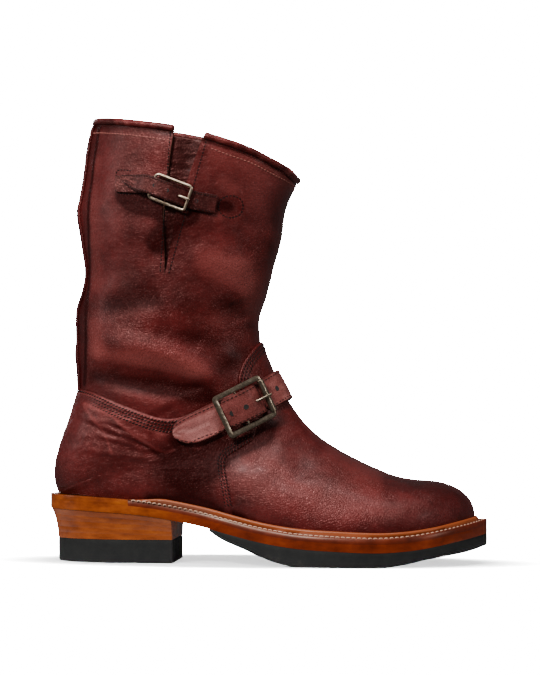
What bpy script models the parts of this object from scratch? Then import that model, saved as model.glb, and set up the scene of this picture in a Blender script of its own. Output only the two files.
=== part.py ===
"""Engineer boot for the right foot, standing empty on its sole.

Axes: +X to the toe, +Y to the inner side of the foot, +Z up. The origin is on the ground below the
middle of the boot. Both buckles are on the outer side, at -Y. All sizes are in metres.
The outer face of the upper is one function, skin(row, v, lift). It runs through the rows of SECTIONS,
and every panel, strap and edge of the welt is placed on it.
"""
import math

import bmesh
import bpy
from mathutils import Matrix, Vector

# Driving sizes of the last and the boot
FOOT_LENGTH = 0.2881
HEEL_X = -0.5069 * FOOT_LENGTH
BALL_WIDTH = 0.093
AXIS_Y = 0.0009              # the buckles make the outer side a little wider than the inner one
INSTEP_HEIGHT = 0.131
BOOT_HEIGHT = 0.307
SEAT_AT_BALL = 0.0205
SEAT_AT_HEEL = 0.047

# Thicknesses and clearances
GAP = 0.0003
PANEL_GAP = 0.0006
BUCKLE_GAP = 0.0010
UPPER_WALL = 0.0022
PANEL_THICKNESS = 0.0011
INSOLE_THICKNESS = 0.0038
WELT_THICKNESS = 0.004
WELT_DROP = 0.0006
RIB_HEIGHT = 0.0040
RIB_WIDTH = 0.0030
RIB_LEAN = 0.75
RIB_CREST_DROP = 0.0006
MIDSOLE_THICKNESS = 0.0054
TOP_LIFT_HEIGHT = 0.016
HEEL_LIFTS = 5
HEEL_TAPER = 0.0058
HEEL_FLARE_POWER = 3.4         # the back of the heel flares mostly near its top
BINDING_RADIUS = 0.0022
BINDING_SEAT = 0.0008
GUSSET_THICKNESS = 0.0013
GUSSET_FOLD = 0.006
GUSSET_OVERLAP = 0.014         # share of the foot length that it runs on past the slit
GUSSET_TOP_DROP = 0.045        # how far its top stands below the collar line, in levels

# Straps and buckles
ANKLE_STRAP_THICKNESS = 0.0026
TOP_STRAP_THICKNESS = 0.0019
CHAPE_THICKNESS = 0.0012
PRONG_RADIUS = 0.0010
PRONG_OVERHANG = 0.0012        # how far a prong runs on past the bar it rests on
STRAP_TIP = 0.06               # share of a strap's length that is rounded
STRAP_TIP_WIDTH = 0.35         # width of the strap at its very end, as a share
TOP_FRAME_WIDTH = 0.0192
TOP_STRAP_REACH = 0.0193        # window width at which the strap fills the lines drawn for it
TOP_BAR_RADIUS = 0.0011
ANKLE_FRAME_WIDTH = 0.0314
ANKLE_STRAP_REACH = 0.0263
ANKLE_BAR_WIDTH = 0.0036
ANKLE_FRAME_THICKNESS = 0.0020
ROLLER_RADIUS = 0.0023
ROLLER_BORE = 0.0016
CENTRE_BAR_RADIUS = 0.0010

# Height of the insole seat along the foot: share of the length, share of the rise to the heel
SEAT_LINE = (
    (0.0, 1.0), (0.100, 0.96), (0.216, 0.868), (0.350, 0.623), (0.428, 0.415), (0.506, 0.226),
    (0.590, 0.094), (0.677, 0.038), (0.782, 0.0), (0.848, 0.035), (0.903, 0.11), (0.962, 0.23),
    (1.004, 0.32), (1.042, 0.41),
)
# Underside of the rubber sole: share of the length, share of the seat height at the ball
TREAD_LINE = (
    (0.386, 1.10), (0.397, 0.98), (0.421, 0.80), (0.474, 0.507), (0.506, 0.327), (0.544, 0.146),
    (0.595, 0.0), (0.69, 0.0), (0.795, 0.0), (0.845, 0.105), (0.907, 0.278), (0.993, 0.454),
    (1.041, 0.634),
)
# Bottom edge of the upper in plan: share of the length, outer and inner side in shares of the width
OUTLINE = (
    (0.0, 0.0, 0.0),
    (0.009, 0.102, 0.102),
    (0.032, 0.181, 0.181),
    (0.07, 0.253, 0.253),
    (0.122, 0.301, 0.301),
    (0.188, 0.323, 0.317),
    (0.268, 0.317, 0.301),
    (0.355, 0.328, 0.285),
    (0.448, 0.376, 0.306),
    (0.539, 0.43, 0.355),
    (0.625, 0.484, 0.43),
    (0.705, 0.505, 0.484),
    (0.775, 0.495, 0.489),
    (0.837, 0.452, 0.462),
    (0.888, 0.387, 0.425),
    (0.927, 0.301, 0.355),
    (0.959, 0.199, 0.269),
    (0.98, 0.102, 0.194),
    (0.993, 0.022, 0.134),
    (0.999, -0.019, 0.081),
    (1.0, -0.046, 0.046),
)
# How far the sole edge stands out from that line: share of the length, share of the ball width
SOLE_MARGIN = (
    (0.0, 0.066), (0.1, 0.056), (0.2, 0.045), (0.3, 0.040), (0.4, 0.050), (0.5, 0.075),
    (0.6, 0.090), (0.8, 0.094), (1.0, 0.108),
)
# Sections of the upper from the collar to the toe. Each row is a plane seen edge-on from the side,
# from its front end to its back end: front along and level, back along and level, ridge, outer and
# inner half width, then the roundness of the front and the back half. Along is a share of the foot
# length. Level is 0 on the seat, 1 at the instep and 2 at the top of the boot. Widths are shares of
# the ball width.
SECTIONS = (
    (0.625, 2.028, 0.096, 2.034, 0.0, 0.527, 0.527, 1.0, 1.0),
    (0.603, 1.886, 0.074, 1.886, 0.0, 0.527, 0.527, 1.0, 1.0),
    (0.58, 1.761, 0.063, 1.761, 0.0, 0.522, 0.522, 1.0, 1.0),
    (0.555, 1.636, 0.053, 1.636, 0.0, 0.511, 0.511, 1.0, 1.0),
    (0.539, 1.517, 0.06, 1.517, 0.0, 0.5, 0.5, 1.0, 1.0),
    (0.52, 1.403, 0.069, 1.398, 0.0, 0.484, 0.484, 1.0, 1.0),
    (0.506, 1.301, 0.061, 1.312, 0.0, 0.473, 0.473, 1.0, 1.0),
    (0.488, 1.21, 0.047, 1.21, 0.0, 0.462, 0.462, 1.0, 1.0),
    (0.489, 1.125, 0.046, 1.108, 0.0, 0.452, 0.452, 1.0, 0.98),
    (0.501, 1.06, 0.05, 0.988, 0.0, 0.435, 0.435, 1.0, 0.95),
    (0.514, 1.006, 0.049, 0.787, 0.0, 0.419, 0.419, 1.0, 0.92),
    (0.527, 0.943, 0.034, 0.609, 0.0, 0.409, 0.409, 1.0, 0.88),
    (0.539, 0.885, 0.009, 0.441, 0.0, 0.403, 0.403, 1.0, 0.84),
    (0.547, 0.836, -0.005, 0.274, 0.0, 0.392, 0.392, 1.0, 0.8),
    (0.554, 0.809, -0.01, 0.131, 0.0, 0.376, 0.376, 1.0, 0.78),
    (0.56, 0.786, 0.0, 0.0, 0.0, 0.366, 0.366, 1.0, 0.76),
    (0.562, 0.775, 0.009, 0.0, 0.0, 0.366, 0.366, 1.0, 0.78),
    (0.566, 0.761, 0.032, 0.0, 0.0, 0.366, 0.366, 1.0, 0.8),
    (0.571, 0.743, 0.07, 0.0, 0.0, 0.368, 0.368, 1.02, 0.85),
    (0.578, 0.718, 0.122, 0.0, 0.003, 0.372, 0.366, 1.03, 0.9),
    (0.589, 0.68, 0.188, 0.0, 0.009, 0.387, 0.366, 1.04, 0.95),
    (0.605, 0.633, 0.268, 0.0, 0.016, 0.403, 0.371, 1.05, 1.0),
    (0.625, 0.587, 0.355, 0.0, 0.024, 0.435, 0.382, 1.05, 1.0),
    (0.653, 0.534, 0.448, 0.0, 0.03, 0.473, 0.398, 1.05, 1.0),
    (0.688, 0.481, 0.539, 0.0, 0.034, 0.511, 0.419, 1.04, 1.0),
    (0.726, 0.43, 0.625, 0.0, 0.037, 0.543, 0.452, 1.02, 1.0),
    (0.768, 0.383, 0.705, 0.0, 0.039, 0.557, 0.478, 1.0, 1.0),
    (0.813, 0.336, 0.775, 0.0, 0.041, 0.548, 0.478, 0.98, 1.0),
    (0.858, 0.308, 0.837, 0.0, 0.043, 0.51, 0.446, 0.95, 1.0),
    (0.896, 0.293, 0.888, 0.0, 0.044, 0.446, 0.403, 0.92, 1.0),
    (0.929, 0.268, 0.927, 0.0, 0.045, 0.361, 0.333, 0.92, 1.0),
    (0.957, 0.228, 0.959, 0.0, 0.046, 0.258, 0.243, 0.92, 1.0),
    (0.978, 0.179, 0.98, 0.0, 0.046, 0.159, 0.159, 0.92, 1.0),
    (0.992, 0.124, 0.993, 0.0, 0.046, 0.078, 0.097, 0.94, 1.0),
    (0.999, 0.062, 0.999, 0.0, 0.046, 0.032, 0.041, 0.96, 1.0),
    (1.0, 0.004, 1.0, 0.0, 0.046, 0.0, 0.0, 1.0, 1.0),
)
HEEL_ROW = 15
WELT_START_ROW = 20
TOE_ROW = len(SECTIONS) - 1
LOWEST_FULL_RING = 5
COLUMNS = 13
SEAM_CLEARANCE = 0.12
EDGE_STEPS = 6

# Places seen from the side, each as along and level
COLLAR_LINE = (
    (0.077, 2.003), (0.098, 2.0), (0.15, 1.991), (0.219, 1.977), (0.29, 1.96), (0.362, 1.935),
    (0.438, 1.898), (0.487, 1.869), (0.534, 1.828), (0.558, 1.807), (0.58, 1.767), (0.6, 1.744),
)
SLIT_TOP_BACK = (0.309, 1.96)
SLIT_TOP_FRONT = (0.380, 1.935)
SLIT_TIP = (0.280, 1.375)
SLIT_EXTEND = 1.25             # the wedge that cuts the slit runs on above the collar
TOP_STRAP_UPPER = ((0.177, 1.767), (0.223, 1.768), (0.258, 1.764), (0.346, 1.710), (0.406, 1.691))
TOP_STRAP_LOWER = ((0.182, 1.741), (0.214, 1.702), (0.247, 1.688), (0.342, 1.628), (0.398, 1.608))
TOP_CHAPE_UPPER = ((0.161, 1.765), (0.207, 1.758), (0.258, 1.748))
TOP_CHAPE_LOWER = ((0.164, 1.700), (0.207, 1.695), (0.258, 1.690))
ANKLE_STRAP_UPPER = ((0.294, 0.593), (0.318, 0.681), (0.390, 0.799), (0.481, 0.937))
ANKLE_STRAP_LOWER = ((0.300, 0.508), (0.350, 0.479), (0.424, 0.593), (0.518, 0.744))
ANKLE_RIDGE_LEVELS = (1.002, 0.801)
ANKLE_STRAP_INNER_END = ((0.40, 0.84), (0.39, 0.58))
COUNTER_TOP = (
    (0.046, 0.870), (0.101, 0.841), (0.192, 0.724), (0.292, 0.654), (0.392, 0.794), (0.471, 0.912),
)
COUNTER_FRONT = (
    (0.448, 0.79), (0.487, 0.66), (0.505, 0.542), (0.466, 0.472), (0.423, 0.384), (0.429, 0.345),
    (0.435, 0.24), (0.444, 0.0),
)
TONGUE_LINE = ((0.4915, 1.120), (0.476, 1.085), (0.455, 1.02), (0.448, 0.93), (0.451, 0.85))

# Height of the straps above the upper: share of the strap's length, share of the strap's thickness
TOP_STRAP_LIFT = (
    (0.0, 1.35), (0.2, 1.45), (0.4, 2.4), (0.517, 3.0), (0.58, 2.3), (0.66, 0.9), (0.737, 0.35),
    (1.0, 0.35),
)
TOP_BARS = (0.517, 0.737)
ANKLE_STRAP_LIFT = (
    (0.0, 1.1), (0.28, 1.1), (0.345, 1.15), (0.385, 2.1), (0.412, 2.6), (0.445, 2.5), (0.468, 1.9),
    (0.49, 1.15), (0.6, 1.05), (0.75, 1.3), (0.85, 1.5), (1.0, 1.5),
)
ANKLE_BARS = (0.338, 0.50)
ANKLE_CENTRE_BAR = -0.06       # place along the frame, as a share of its length
ANKLE_STEM_RUN = 0.0105
STEM_HEIGHT = 0.0030
TOP_STEM_PLACE = 0.16
TOP_FRAME_CORNER = 1.3         # corner radius of the top frame, in bar radii

# Colours: red, green, blue, roughness, metallic
FINISHES = {
    "oxblood_leather": (0.095, 0.022, 0.018, 0.42, 0.0),
    "strap_leather": (0.16, 0.04, 0.03, 0.45, 0.0),
    "lining_leather": (0.20, 0.10, 0.06, 0.8, 0.0),
    "sole_leather": (0.20, 0.055, 0.018, 0.35, 0.0),
    "heel_leather": (0.24, 0.08, 0.02, 0.4, 0.0),
    "black_rubber": (0.02, 0.018, 0.015, 0.75, 0.0),
    "aged_steel": (0.45, 0.38, 0.32, 0.4, 1.0),
    "aged_brass": (0.30, 0.22, 0.14, 0.4, 1.0),
}


def curve_value(rows, key, column):
    """Value of one column of a table at a key, along a smooth curve through its rows."""
    if key <= rows[0][0]:
        return rows[0][column]
    for i in range(len(rows) - 1):
        if key <= rows[i + 1][0]:
            break
    else:
        return rows[-1][column]

    def slope(j):
        low, high = max(j - 1, 0), min(j + 1, len(rows) - 1)
        return (rows[high][column] - rows[low][column]) / (rows[high][0] - rows[low][0])

    span = rows[i + 1][0] - rows[i][0]
    t = (key - rows[i][0]) / span
    start, end = rows[i][column], rows[i + 1][column]
    return (
        (2 * t**3 - 3 * t**2 + 1) * start
        + (t**3 - 2 * t**2 + t) * span * slope(i)
        + (3 * t**2 - 2 * t**3) * end
        + (t**3 - t**2) * span * slope(i + 1)
    )


def row_value(rows, position):
    """All columns of a table at a position between its rows, along a smooth curve."""
    i = min(max(int(math.floor(position)), 0), len(rows) - 2)
    t = position - i
    before, after = rows[max(i - 1, 0)], rows[min(i + 2, len(rows) - 1)]
    start, end = rows[i], rows[i + 1]
    return tuple(
        0.5 * (
            2 * b + (c - a) * t + (2 * a - 5 * b + 4 * c - d) * t**2 + (3 * b - a - 3 * c + d) * t**3
        )
        for a, b, c, d in zip(before, start, end, after)
    )


def solve(function, low, high):
    """Where a function that falls from above zero to below it crosses zero."""
    for _ in range(40):
        middle = (low + high) / 2
        if function(middle) > 0:
            low = middle
        else:
            high = middle
    return (low + high) / 2


def along_x(along):
    return HEEL_X + along * FOOT_LENGTH


def x_along(x):
    return (x - HEEL_X) / FOOT_LENGTH


def seat(x):
    return SEAT_AT_BALL + (SEAT_AT_HEEL - SEAT_AT_BALL) * curve_value(SEAT_LINE, x_along(x), 1)


def height(x, level):
    if level <= 1:
        return seat(x) + level * (INSTEP_HEIGHT - seat(x))
    return INSTEP_HEIGHT + (level - 1) * (BOOT_HEIGHT - INSTEP_HEIGHT)


def side_point(along, level):
    x = along_x(along)
    return x, height(x, level)


def outline_half(x, column):
    """Half width of the bottom edge at x: column 1 is the outer side, 2 the inner side."""
    share = x_along(x)
    place = solve(lambda p: share - row_value(OUTLINE, p)[0], 0, len(OUTLINE) - 1)
    return row_value(OUTLINE, place)[column] * BALL_WIDTH


SECTION_ROWS = [
    (*side_point(row[0], row[1]), *side_point(row[2], row[3]),
     row[4] * BALL_WIDTH, row[5] * BALL_WIDTH, row[6] * BALL_WIDTH, row[7], row[8])
    for row in SECTIONS
]
SECTION_CACHE = {}


def section(row):
    """Front x and z, back x and z, ridge, half widths, roundness and end angles of a section."""
    key = round(row, 6)
    if key in SECTION_CACHE:
        return SECTION_CACHE[key]
    front_x, front_z, back_x, back_z, ridge, outer, inner, round_front, round_back = row_value(
        SECTION_ROWS, min(row, TOE_ROW))
    ends = [math.pi, math.pi]
    if row > HEEL_ROW:
        back_z = seat(back_x)
        halves = (outline_half(back_x, 1) + ridge, outline_half(back_x, 2) - ridge)
        for side, (edge, wide) in enumerate(zip(halves, (outer, inner))):
            share = min(max(edge, 0.0) / max(wide, 1e-6), 1.0)
            ends[side] = math.pi - math.asin(share ** (1 / round_back))
    result = (front_x, front_z, back_x, back_z, ridge, outer, inner, round_front, round_back, *ends)
    SECTION_CACHE[key] = result
    return result


def surface(row, v):
    """Point of the outer face. v is 0 on the front ridge, -1 and 1 at the ends of the section."""
    if v > 1 and row <= HEEL_ROW:
        v -= 2
    if v < -1 and row <= HEEL_ROW:
        v += 2
    front_x, front_z, back_x, back_z, ridge, outer, inner, round_front, round_back, *ends = section(row)
    sign = 1 if v >= 0 else -1
    end = ends[1] if v >= 0 else ends[0]
    angle = min(abs(v) * end, math.pi)
    share = (1 - math.cos(angle)) / (1 - math.cos(end))
    power = round_front if angle < math.pi / 2 else round_back
    wide = inner if v >= 0 else outer
    return Vector((
        front_x + (back_x - front_x) * share,
        AXIS_Y + ridge + sign * wide * max(math.sin(angle), 0.0) ** power,
        front_z + (back_z - front_z) * share,
    ))


def skin(row, v, lift=0.0):
    """Point that stands a lift outside the outer face of the upper."""
    point = surface(row, v)
    if lift == 0.0:
        return point
    return point + skin_normal(row, v) * lift


def skin_normal(row, v):
    step = 0.02
    base = min(row, TOE_ROW - 0.5)
    down = surface(min(base + 0.2, TOE_ROW), v) - surface(max(base - 0.2, 0.0), v)
    high = v + step if (v + step <= 1 or row <= HEEL_ROW) else v
    low = v - step if (v - step >= -1 or row <= HEEL_ROW) else v
    across = surface(base, high) - surface(base, low)
    return down.cross(across).normalized()


def spot(along, level, side):
    """Row and v of a place given as it is seen from the side. side is -1 outer, 1 inner."""
    x, z = side_point(along, level)

    def ahead(row):
        front_x, front_z, back_x, back_z = section(row)[:4]
        return (back_x - front_x) * (z - front_z) - (back_z - front_z) * (x - front_x)

    row = solve(ahead, 0.0, TOE_ROW - 0.01)
    front_x, front_z, back_x, back_z = section(row)[:4]
    run = (back_x - front_x) ** 2 + (back_z - front_z) ** 2
    share = ((x - front_x) * (back_x - front_x) + (z - front_z) * (back_z - front_z)) / run
    end = section(row)[10 if side > 0 else 9]
    turn = 1 - min(max(share, 0.0), 1.0) * (1 - math.cos(end))
    return row, side * math.acos(max(turn, -1.0)) / end


def ridge_row(level):
    """Row whose front end is at a level of the front profile."""
    def above(row):
        front_x, front_z = section(row)[:2]
        return front_z - height(front_x, level)
    return solve(above, 0.0, float(TOE_ROW))


def collar_row(v, drop):
    """Row where the collar line, lowered square to itself, crosses one column of the upper."""
    step = FOOT_LENGTH * 0.01

    def above(row):
        point = surface(row, v)
        line, ahead = (height(x, curve_value(COLLAR_LINE, x_along(x), 1))
                       for x in (point.x, point.x + step))
        return point.z - line + drop * math.hypot(1.0, (ahead - line) / step)
    return solve(above, 0.0, 4.5)


def finish(name):
    material = bpy.data.materials.get(name)
    if material is None:
        material = bpy.data.materials.new(name)
        material.use_nodes = True
        shader = material.node_tree.nodes["Principled BSDF"]
        red, green, blue, roughness, metallic = FINISHES[name]
        shader.inputs["Base Color"].default_value = (red, green, blue, 1.0)
        shader.inputs["Roughness"].default_value = roughness
        shader.inputs["Metallic"].default_value = metallic
        material.diffuse_color = (red, green, blue, 1.0)
    return material


def mesh_object(name, mesh, material, collection):
    thing = bpy.data.objects.new(name, mesh)
    collection.objects.link(thing)
    mesh.materials.clear()
    mesh.materials.append(finish(material))
    mesh.shade_smooth()
    mesh.set_sharp_from_angle(angle=math.radians(40))
    return thing


def grid_mesh(name, *grids, wrap=False, caps=False):
    """Mesh through one or more grids of points. wrap joins the last column to the first."""
    bm = bmesh.new()
    for grid in grids:
        verts = [[bm.verts.new(point) for point in line] for line in grid]
        count = len(grid[0])
        for upper, lower in zip(verts, verts[1:]):
            for i in range(count if wrap else count - 1):
                j = (i + 1) % count
                bm.faces.new((upper[i], lower[i], lower[j], upper[j]))
        if caps:
            bm.faces.new(verts[0])
            bm.faces.new(reversed(verts[-1]))
    bmesh.ops.remove_doubles(bm, verts=bm.verts, dist=2e-5)
    bmesh.ops.dissolve_degenerate(bm, edges=bm.edges, dist=1e-6)
    bmesh.ops.triangulate(bm, faces=[face for face in bm.faces if len(face.verts) > 3])
    mesh = bpy.data.meshes.new(name)
    bm.to_mesh(mesh)
    bm.free()
    return mesh


def solid_mesh(name, grid):
    """Closed mesh whose lines are rings, with flat ends, turned so that its faces point out."""
    mesh = grid_mesh(name, grid, wrap=True, caps=True)
    bm = bmesh.new()
    bm.from_mesh(mesh)
    bmesh.ops.recalc_face_normals(bm, faces=bm.faces)
    if bm.calc_volume(signed=True) < 0:
        bmesh.ops.reverse_faces(bm, faces=bm.faces)
    bm.to_mesh(mesh)
    bm.free()
    return mesh


def shell(name, grids, thickness, material, collection, outward=True):
    """Open sheet through its grids, given its thickness by Solidify, outward or inward."""
    thing = mesh_object(name, grid_mesh(name, *grids), material, collection)
    solidify = thing.modifiers.new("Thickness", "SOLIDIFY")
    solidify.thickness = thickness
    solidify.offset = 1.0 if outward else -1.0
    return thing


def tube(name, points, radius, material, collection, closed=False):
    """Round bar along straight runs between points."""
    curve = bpy.data.curves.new(name, "CURVE")
    curve.dimensions = "3D"
    curve.bevel_depth = radius
    curve.bevel_resolution = 2
    curve.use_fill_caps = True
    spline = curve.splines.new("POLY")
    spline.points.add(len(points) - 1)
    for place, point in zip(spline.points, points):
        place.co = (*point, 1.0)
    spline.use_cyclic_u = closed
    curve.materials.append(finish(material))
    thing = bpy.data.objects.new(name, curve)
    collection.objects.link(thing)
    return thing


def as_mesh(thing, material, collection):
    """The mesh object that a curve object makes, with its caps welded. The curve is removed."""
    name = thing.name
    bpy.context.view_layer.update()
    graph = bpy.context.evaluated_depsgraph_get()
    mesh = bpy.data.meshes.new_from_object(thing.evaluated_get(graph))
    place = thing.matrix_world.copy()
    bpy.data.objects.remove(thing)
    bm = bmesh.new()
    bm.from_mesh(mesh)
    bmesh.ops.remove_doubles(bm, verts=bm.verts, dist=1e-6)
    bm.to_mesh(mesh)
    bm.free()
    solid = mesh_object(name, mesh, material, collection)
    solid.matrix_world = place
    return solid


def cut(thing, cutter):
    boolean = thing.modifiers.new("Cut", "BOOLEAN")
    boolean.operation = "DIFFERENCE"
    boolean.object = cutter


def hide_cutter(cutter):
    cutter.hide_render = True
    cutter.display_type = "WIRE"


# The sole is built on rows of plan points, one for each station of the bottom edge
SOLE_ROWS = [HEEL_ROW + step / 2 for step in range(2 * (TOE_ROW - HEEL_ROW) + 1)]
LAST_STATION = TOE_ROW - 0.5


def edge_point(row, side, out):
    """Plan point of the bottom edge at a row, moved out square to the edge."""
    def base(place):
        point = surface(min(max(place, HEEL_ROW), TOE_ROW), side)
        return Vector((point.x, point.y))
    if row <= HEEL_ROW:
        normal = Vector((-1.0, 0.0))
    elif row >= TOE_ROW:
        normal = Vector((1.0, 0.0))
    else:
        run = base(row + 0.15) - base(row - 0.15)
        normal = Vector((-run.y, run.x)).normalized() * side
    return base(row) + normal * out


def margin(row):
    share = x_along(section(row)[2])
    return BALL_WIDTH * curve_value(SOLE_MARGIN, share, 1)


def slab(name, rows, out_top, out_bottom, top, bottom, material, collection):
    """Layer of the sole: its outline moved out by out(row), its faces at top(x) and bottom(x)."""
    grid = []
    for row in rows:
        ring = []
        for side, out, level in ((-1, out_top, top), (-1, out_bottom, bottom),
                                 (1, out_bottom, bottom), (1, out_top, top)):
            point = edge_point(row, side, out(row))
            ring.append(Vector((point.x, point.y, level(point.x))))
        grid.append(ring)
    return mesh_object(name, solid_mesh(name, grid), material, collection)


def row_at(x):
    """Row whose bottom edge is at x."""
    return solve(lambda row: x - section(row)[2], float(HEEL_ROW), float(TOE_ROW))


BREAST_X = along_x(0.290)
SKIVE_X = along_x(0.386)
PANEL_TOP = PANEL_GAP + PANEL_THICKNESS


def insole_top(x):
    return seat(x) - GAP


def welt_top(x):
    return seat(x) - WELT_DROP


def rand_top(x):
    return welt_top(x) - GAP


def welt_bottom(x):
    return welt_top(x) - WELT_THICKNESS


def midsole_top(x):
    return welt_bottom(x) - GAP


def midsole_bottom(x):
    return midsole_top(x) - MIDSOLE_THICKNESS


def tread(x):
    return max(SEAT_AT_BALL * curve_value(TREAD_LINE, x_along(x), 1), 0.0)


def make_sole(parts):
    slab("insole", SOLE_ROWS, lambda row: -GAP, lambda row: -GAP, insole_top,
         lambda x: insole_top(x) - INSOLE_THICKNESS, "lining_leather", parts)
    slab("midsole", SOLE_ROWS, margin, margin, midsole_top, midsole_bottom, "sole_leather", parts)
    skive_row = row_at(SKIVE_X)
    rows = [skive_row] + [row for row in SOLE_ROWS if row > skive_row + 0.1]
    slab("outsole", rows, margin, margin, lambda x: midsole_bottom(x) - GAP, tread,
         "black_rubber", parts)


def make_heel(parts):
    breast_row = row_at(BREAST_X)
    rows = [row for row in SOLE_ROWS if row < breast_row - 0.1] + [breast_row]

    def out_at(z):
        share = min(z / SEAT_AT_HEEL, 1.0)
        return lambda row: margin(row) - HEEL_TAPER * (1 - share**HEEL_FLARE_POWER)

    def boundary(number, shift):
        share = number / HEEL_LIFTS
        low = TOP_LIFT_HEIGHT + GAP / 2
        return lambda x: low + share * (midsole_bottom(x) - GAP / 2 - low) + shift

    slab("heel_top_lift", rows, out_at(TOP_LIFT_HEIGHT), out_at(0.0),
         lambda x: TOP_LIFT_HEIGHT, lambda x: 0.0, "black_rubber", parts)
    for number in range(HEEL_LIFTS):
        low, high = boundary(number, GAP / 2), boundary(number + 1, -GAP / 2)
        slab(f"heel_lift_{number + 1}", rows, out_at(high(HEEL_X)), out_at(low(HEEL_X)), high, low,
             "heel_leather", parts)


def welt_ring(row, side):
    """Section of the welt at one station: flange and raised rib."""
    inner = edge_point(row, side, PANEL_TOP + GAP)
    outer = edge_point(row, side, margin(row))
    foot = edge_point(row, side, PANEL_TOP + GAP + RIB_WIDTH)
    if row >= TOE_ROW:
        crest = skin(LAST_STATION, 0.0, PANEL_TOP + GAP)
    else:
        front_x, front_z, back_x, back_z, *rest = section(row)
        end = rest[-1] if side > 0 else rest[-2]
        share = 1 - RIB_HEIGHT / (front_z - back_z)
        crest = skin(row, side * math.acos(1 - share * (1 - math.cos(end))) / end, PANEL_TOP + GAP)
    lean = Vector((foot.x - inner.x, foot.y - inner.y)).normalized() * RIB_WIDTH * RIB_LEAN
    return [
        Vector((inner.x, inner.y, welt_bottom(inner.x))),
        Vector((outer.x, outer.y, welt_bottom(outer.x))),
        Vector((outer.x, outer.y, welt_top(outer.x))),
        Vector((foot.x, foot.y, welt_top(foot.x))),
        Vector((crest.x + lean.x, crest.y + lean.y, crest.z - RIB_CREST_DROP)),
        Vector((crest.x, crest.y, crest.z)),
    ]


def make_welt(parts):
    stations = [WELT_START_ROW + step / 2 for step in range(2 * (TOE_ROW - 1 - WELT_START_ROW) + 1)]
    grid = [welt_ring(row, -1) for row in stations]
    grid.append(welt_ring(TOE_ROW, 1))
    grid += [welt_ring(row, 1) for row in reversed(stations)]
    mesh_object("welt", solid_mesh("welt", grid), "sole_leather", parts)
    stations = [HEEL_ROW + step / 2 for step in range(1, 2 * (WELT_START_ROW - HEEL_ROW))]
    stations.append(WELT_START_ROW - 0.06)

    def rand_ring(row, side):
        inner = edge_point(row, side, 0.0)
        outer = edge_point(row, side, margin(row))
        return [Vector((point.x, point.y, level(point.x)))
                for point, level in ((inner, welt_bottom), (outer, welt_bottom),
                                     (outer, rand_top), (inner, rand_top))]

    grid = [rand_ring(row, -1) for row in reversed(stations)]
    grid.append(rand_ring(HEEL_ROW, 1))
    grid += [rand_ring(row, 1) for row in stations]
    mesh_object("heel_rand", solid_mesh("heel_rand", grid), "sole_leather", parts)


V_COLUMNS = [column / COLUMNS for column in range(-COLUMNS, COLUMNS + 1)]
ROWS_BELOW = list(range(LOWEST_FULL_RING, TOE_ROW + 1))
COLLAR_STEPS = 6


def upper_rows(v, drop):
    top = collar_row(v, drop)
    steps = [top + (LOWEST_FULL_RING - top) * step / COLLAR_STEPS for step in range(COLLAR_STEPS)]
    return steps + ROWS_BELOW


def make_upper(parts, cutters):
    drop = BINDING_RADIUS * 2 + BINDING_SEAT
    columns = [[skin(row, v) for row in upper_rows(v, drop)] for v in V_COLUMNS]
    grid = [list(line) for line in zip(*columns)]
    upper = shell("upper", [grid], UPPER_WALL, "oxblood_leather", parts, outward=False)
    wedge = slit_wedge(cutters)
    cut(upper, wedge)


def slit_wedge(cutters):
    """Cutter for the gusset's slit, a wedge through the outer side of the shaft only."""
    back, front, tip = (side_point(*place) for place in (SLIT_TOP_BACK, SLIT_TOP_FRONT, SLIT_TIP))
    corners = [
        (tip[0] + (back[0] - tip[0]) * SLIT_EXTEND, tip[1] + (back[1] - tip[1]) * SLIT_EXTEND),
        tip,
        (tip[0] + (front[0] - tip[0]) * SLIT_EXTEND, tip[1] + (front[1] - tip[1]) * SLIT_EXTEND),
    ]
    near, far = -BALL_WIDTH, -BALL_WIDTH / 10
    grid = [[Vector((x, y, z)) for x, z in corners] for y in (near, far)]
    wedge = mesh_object("slit_cutter", solid_mesh("slit_cutter", grid), "oxblood_leather", cutters)
    hide_cutter(wedge)
    return wedge


def edge_at(spots, key):
    """Row on an edge at one |v|, in straight steps between its spots of row and v."""
    places = sorted((abs(v), row) for row, v in spots)
    if key <= places[0][0]:
        return places[0][1]
    for (low, start), (high, end) in zip(places, places[1:]):
        if key <= high:
            return start + (end - start) * (key - low) / (high - low)
    return places[-1][1]


def spots_along(line):
    """Row and v along a line drawn on the outer side, with places between its corners."""
    places = []
    for start, end in zip(line, line[1:]):
        for step in range(EDGE_STEPS):
            share = step / EDGE_STEPS
            places.append(tuple(a + (b - a) * share for a, b in zip(start, end)))
    places.append(line[-1])
    return [spot(*place, -1) for place in places]


def seam_rows():
    """The seam between counter and vamp, and the tongue's edge above it, as lists of row and v."""
    seam = spots_along(COUNTER_FRONT)
    seam[-1] = (seam[-1][0], -1.0)
    tongue = spots_along(TONGUE_LINE)
    tongue[0] = (tongue[0][0], 0.0)
    return seam, tongue


def make_counter(parts):
    """Heel counter: two halves, joined up the back, that run forward under the instep strap."""
    top = spots_along(COUNTER_TOP)
    top[0] = (top[0][0], -1.0)
    seam = seam_rows()[0]
    first = abs(seam[0][1])
    steps = [first] + [v for v in V_COLUMNS if v > first + 0.02]

    def place(row, v):
        low = edge_at(top, abs(v))
        high = max(edge_at(seam, abs(v)), low)
        return skin(min(max(row, low), high), v, PANEL_GAP)

    outer = [[place(row, -v) for v in reversed(steps)] for row in ROWS_BELOW]
    inner = [[place(row, v) for v in steps] for row in ROWS_BELOW]
    return shell("counter", [outer, inner], PANEL_THICKNESS, "oxblood_leather", parts)


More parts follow.
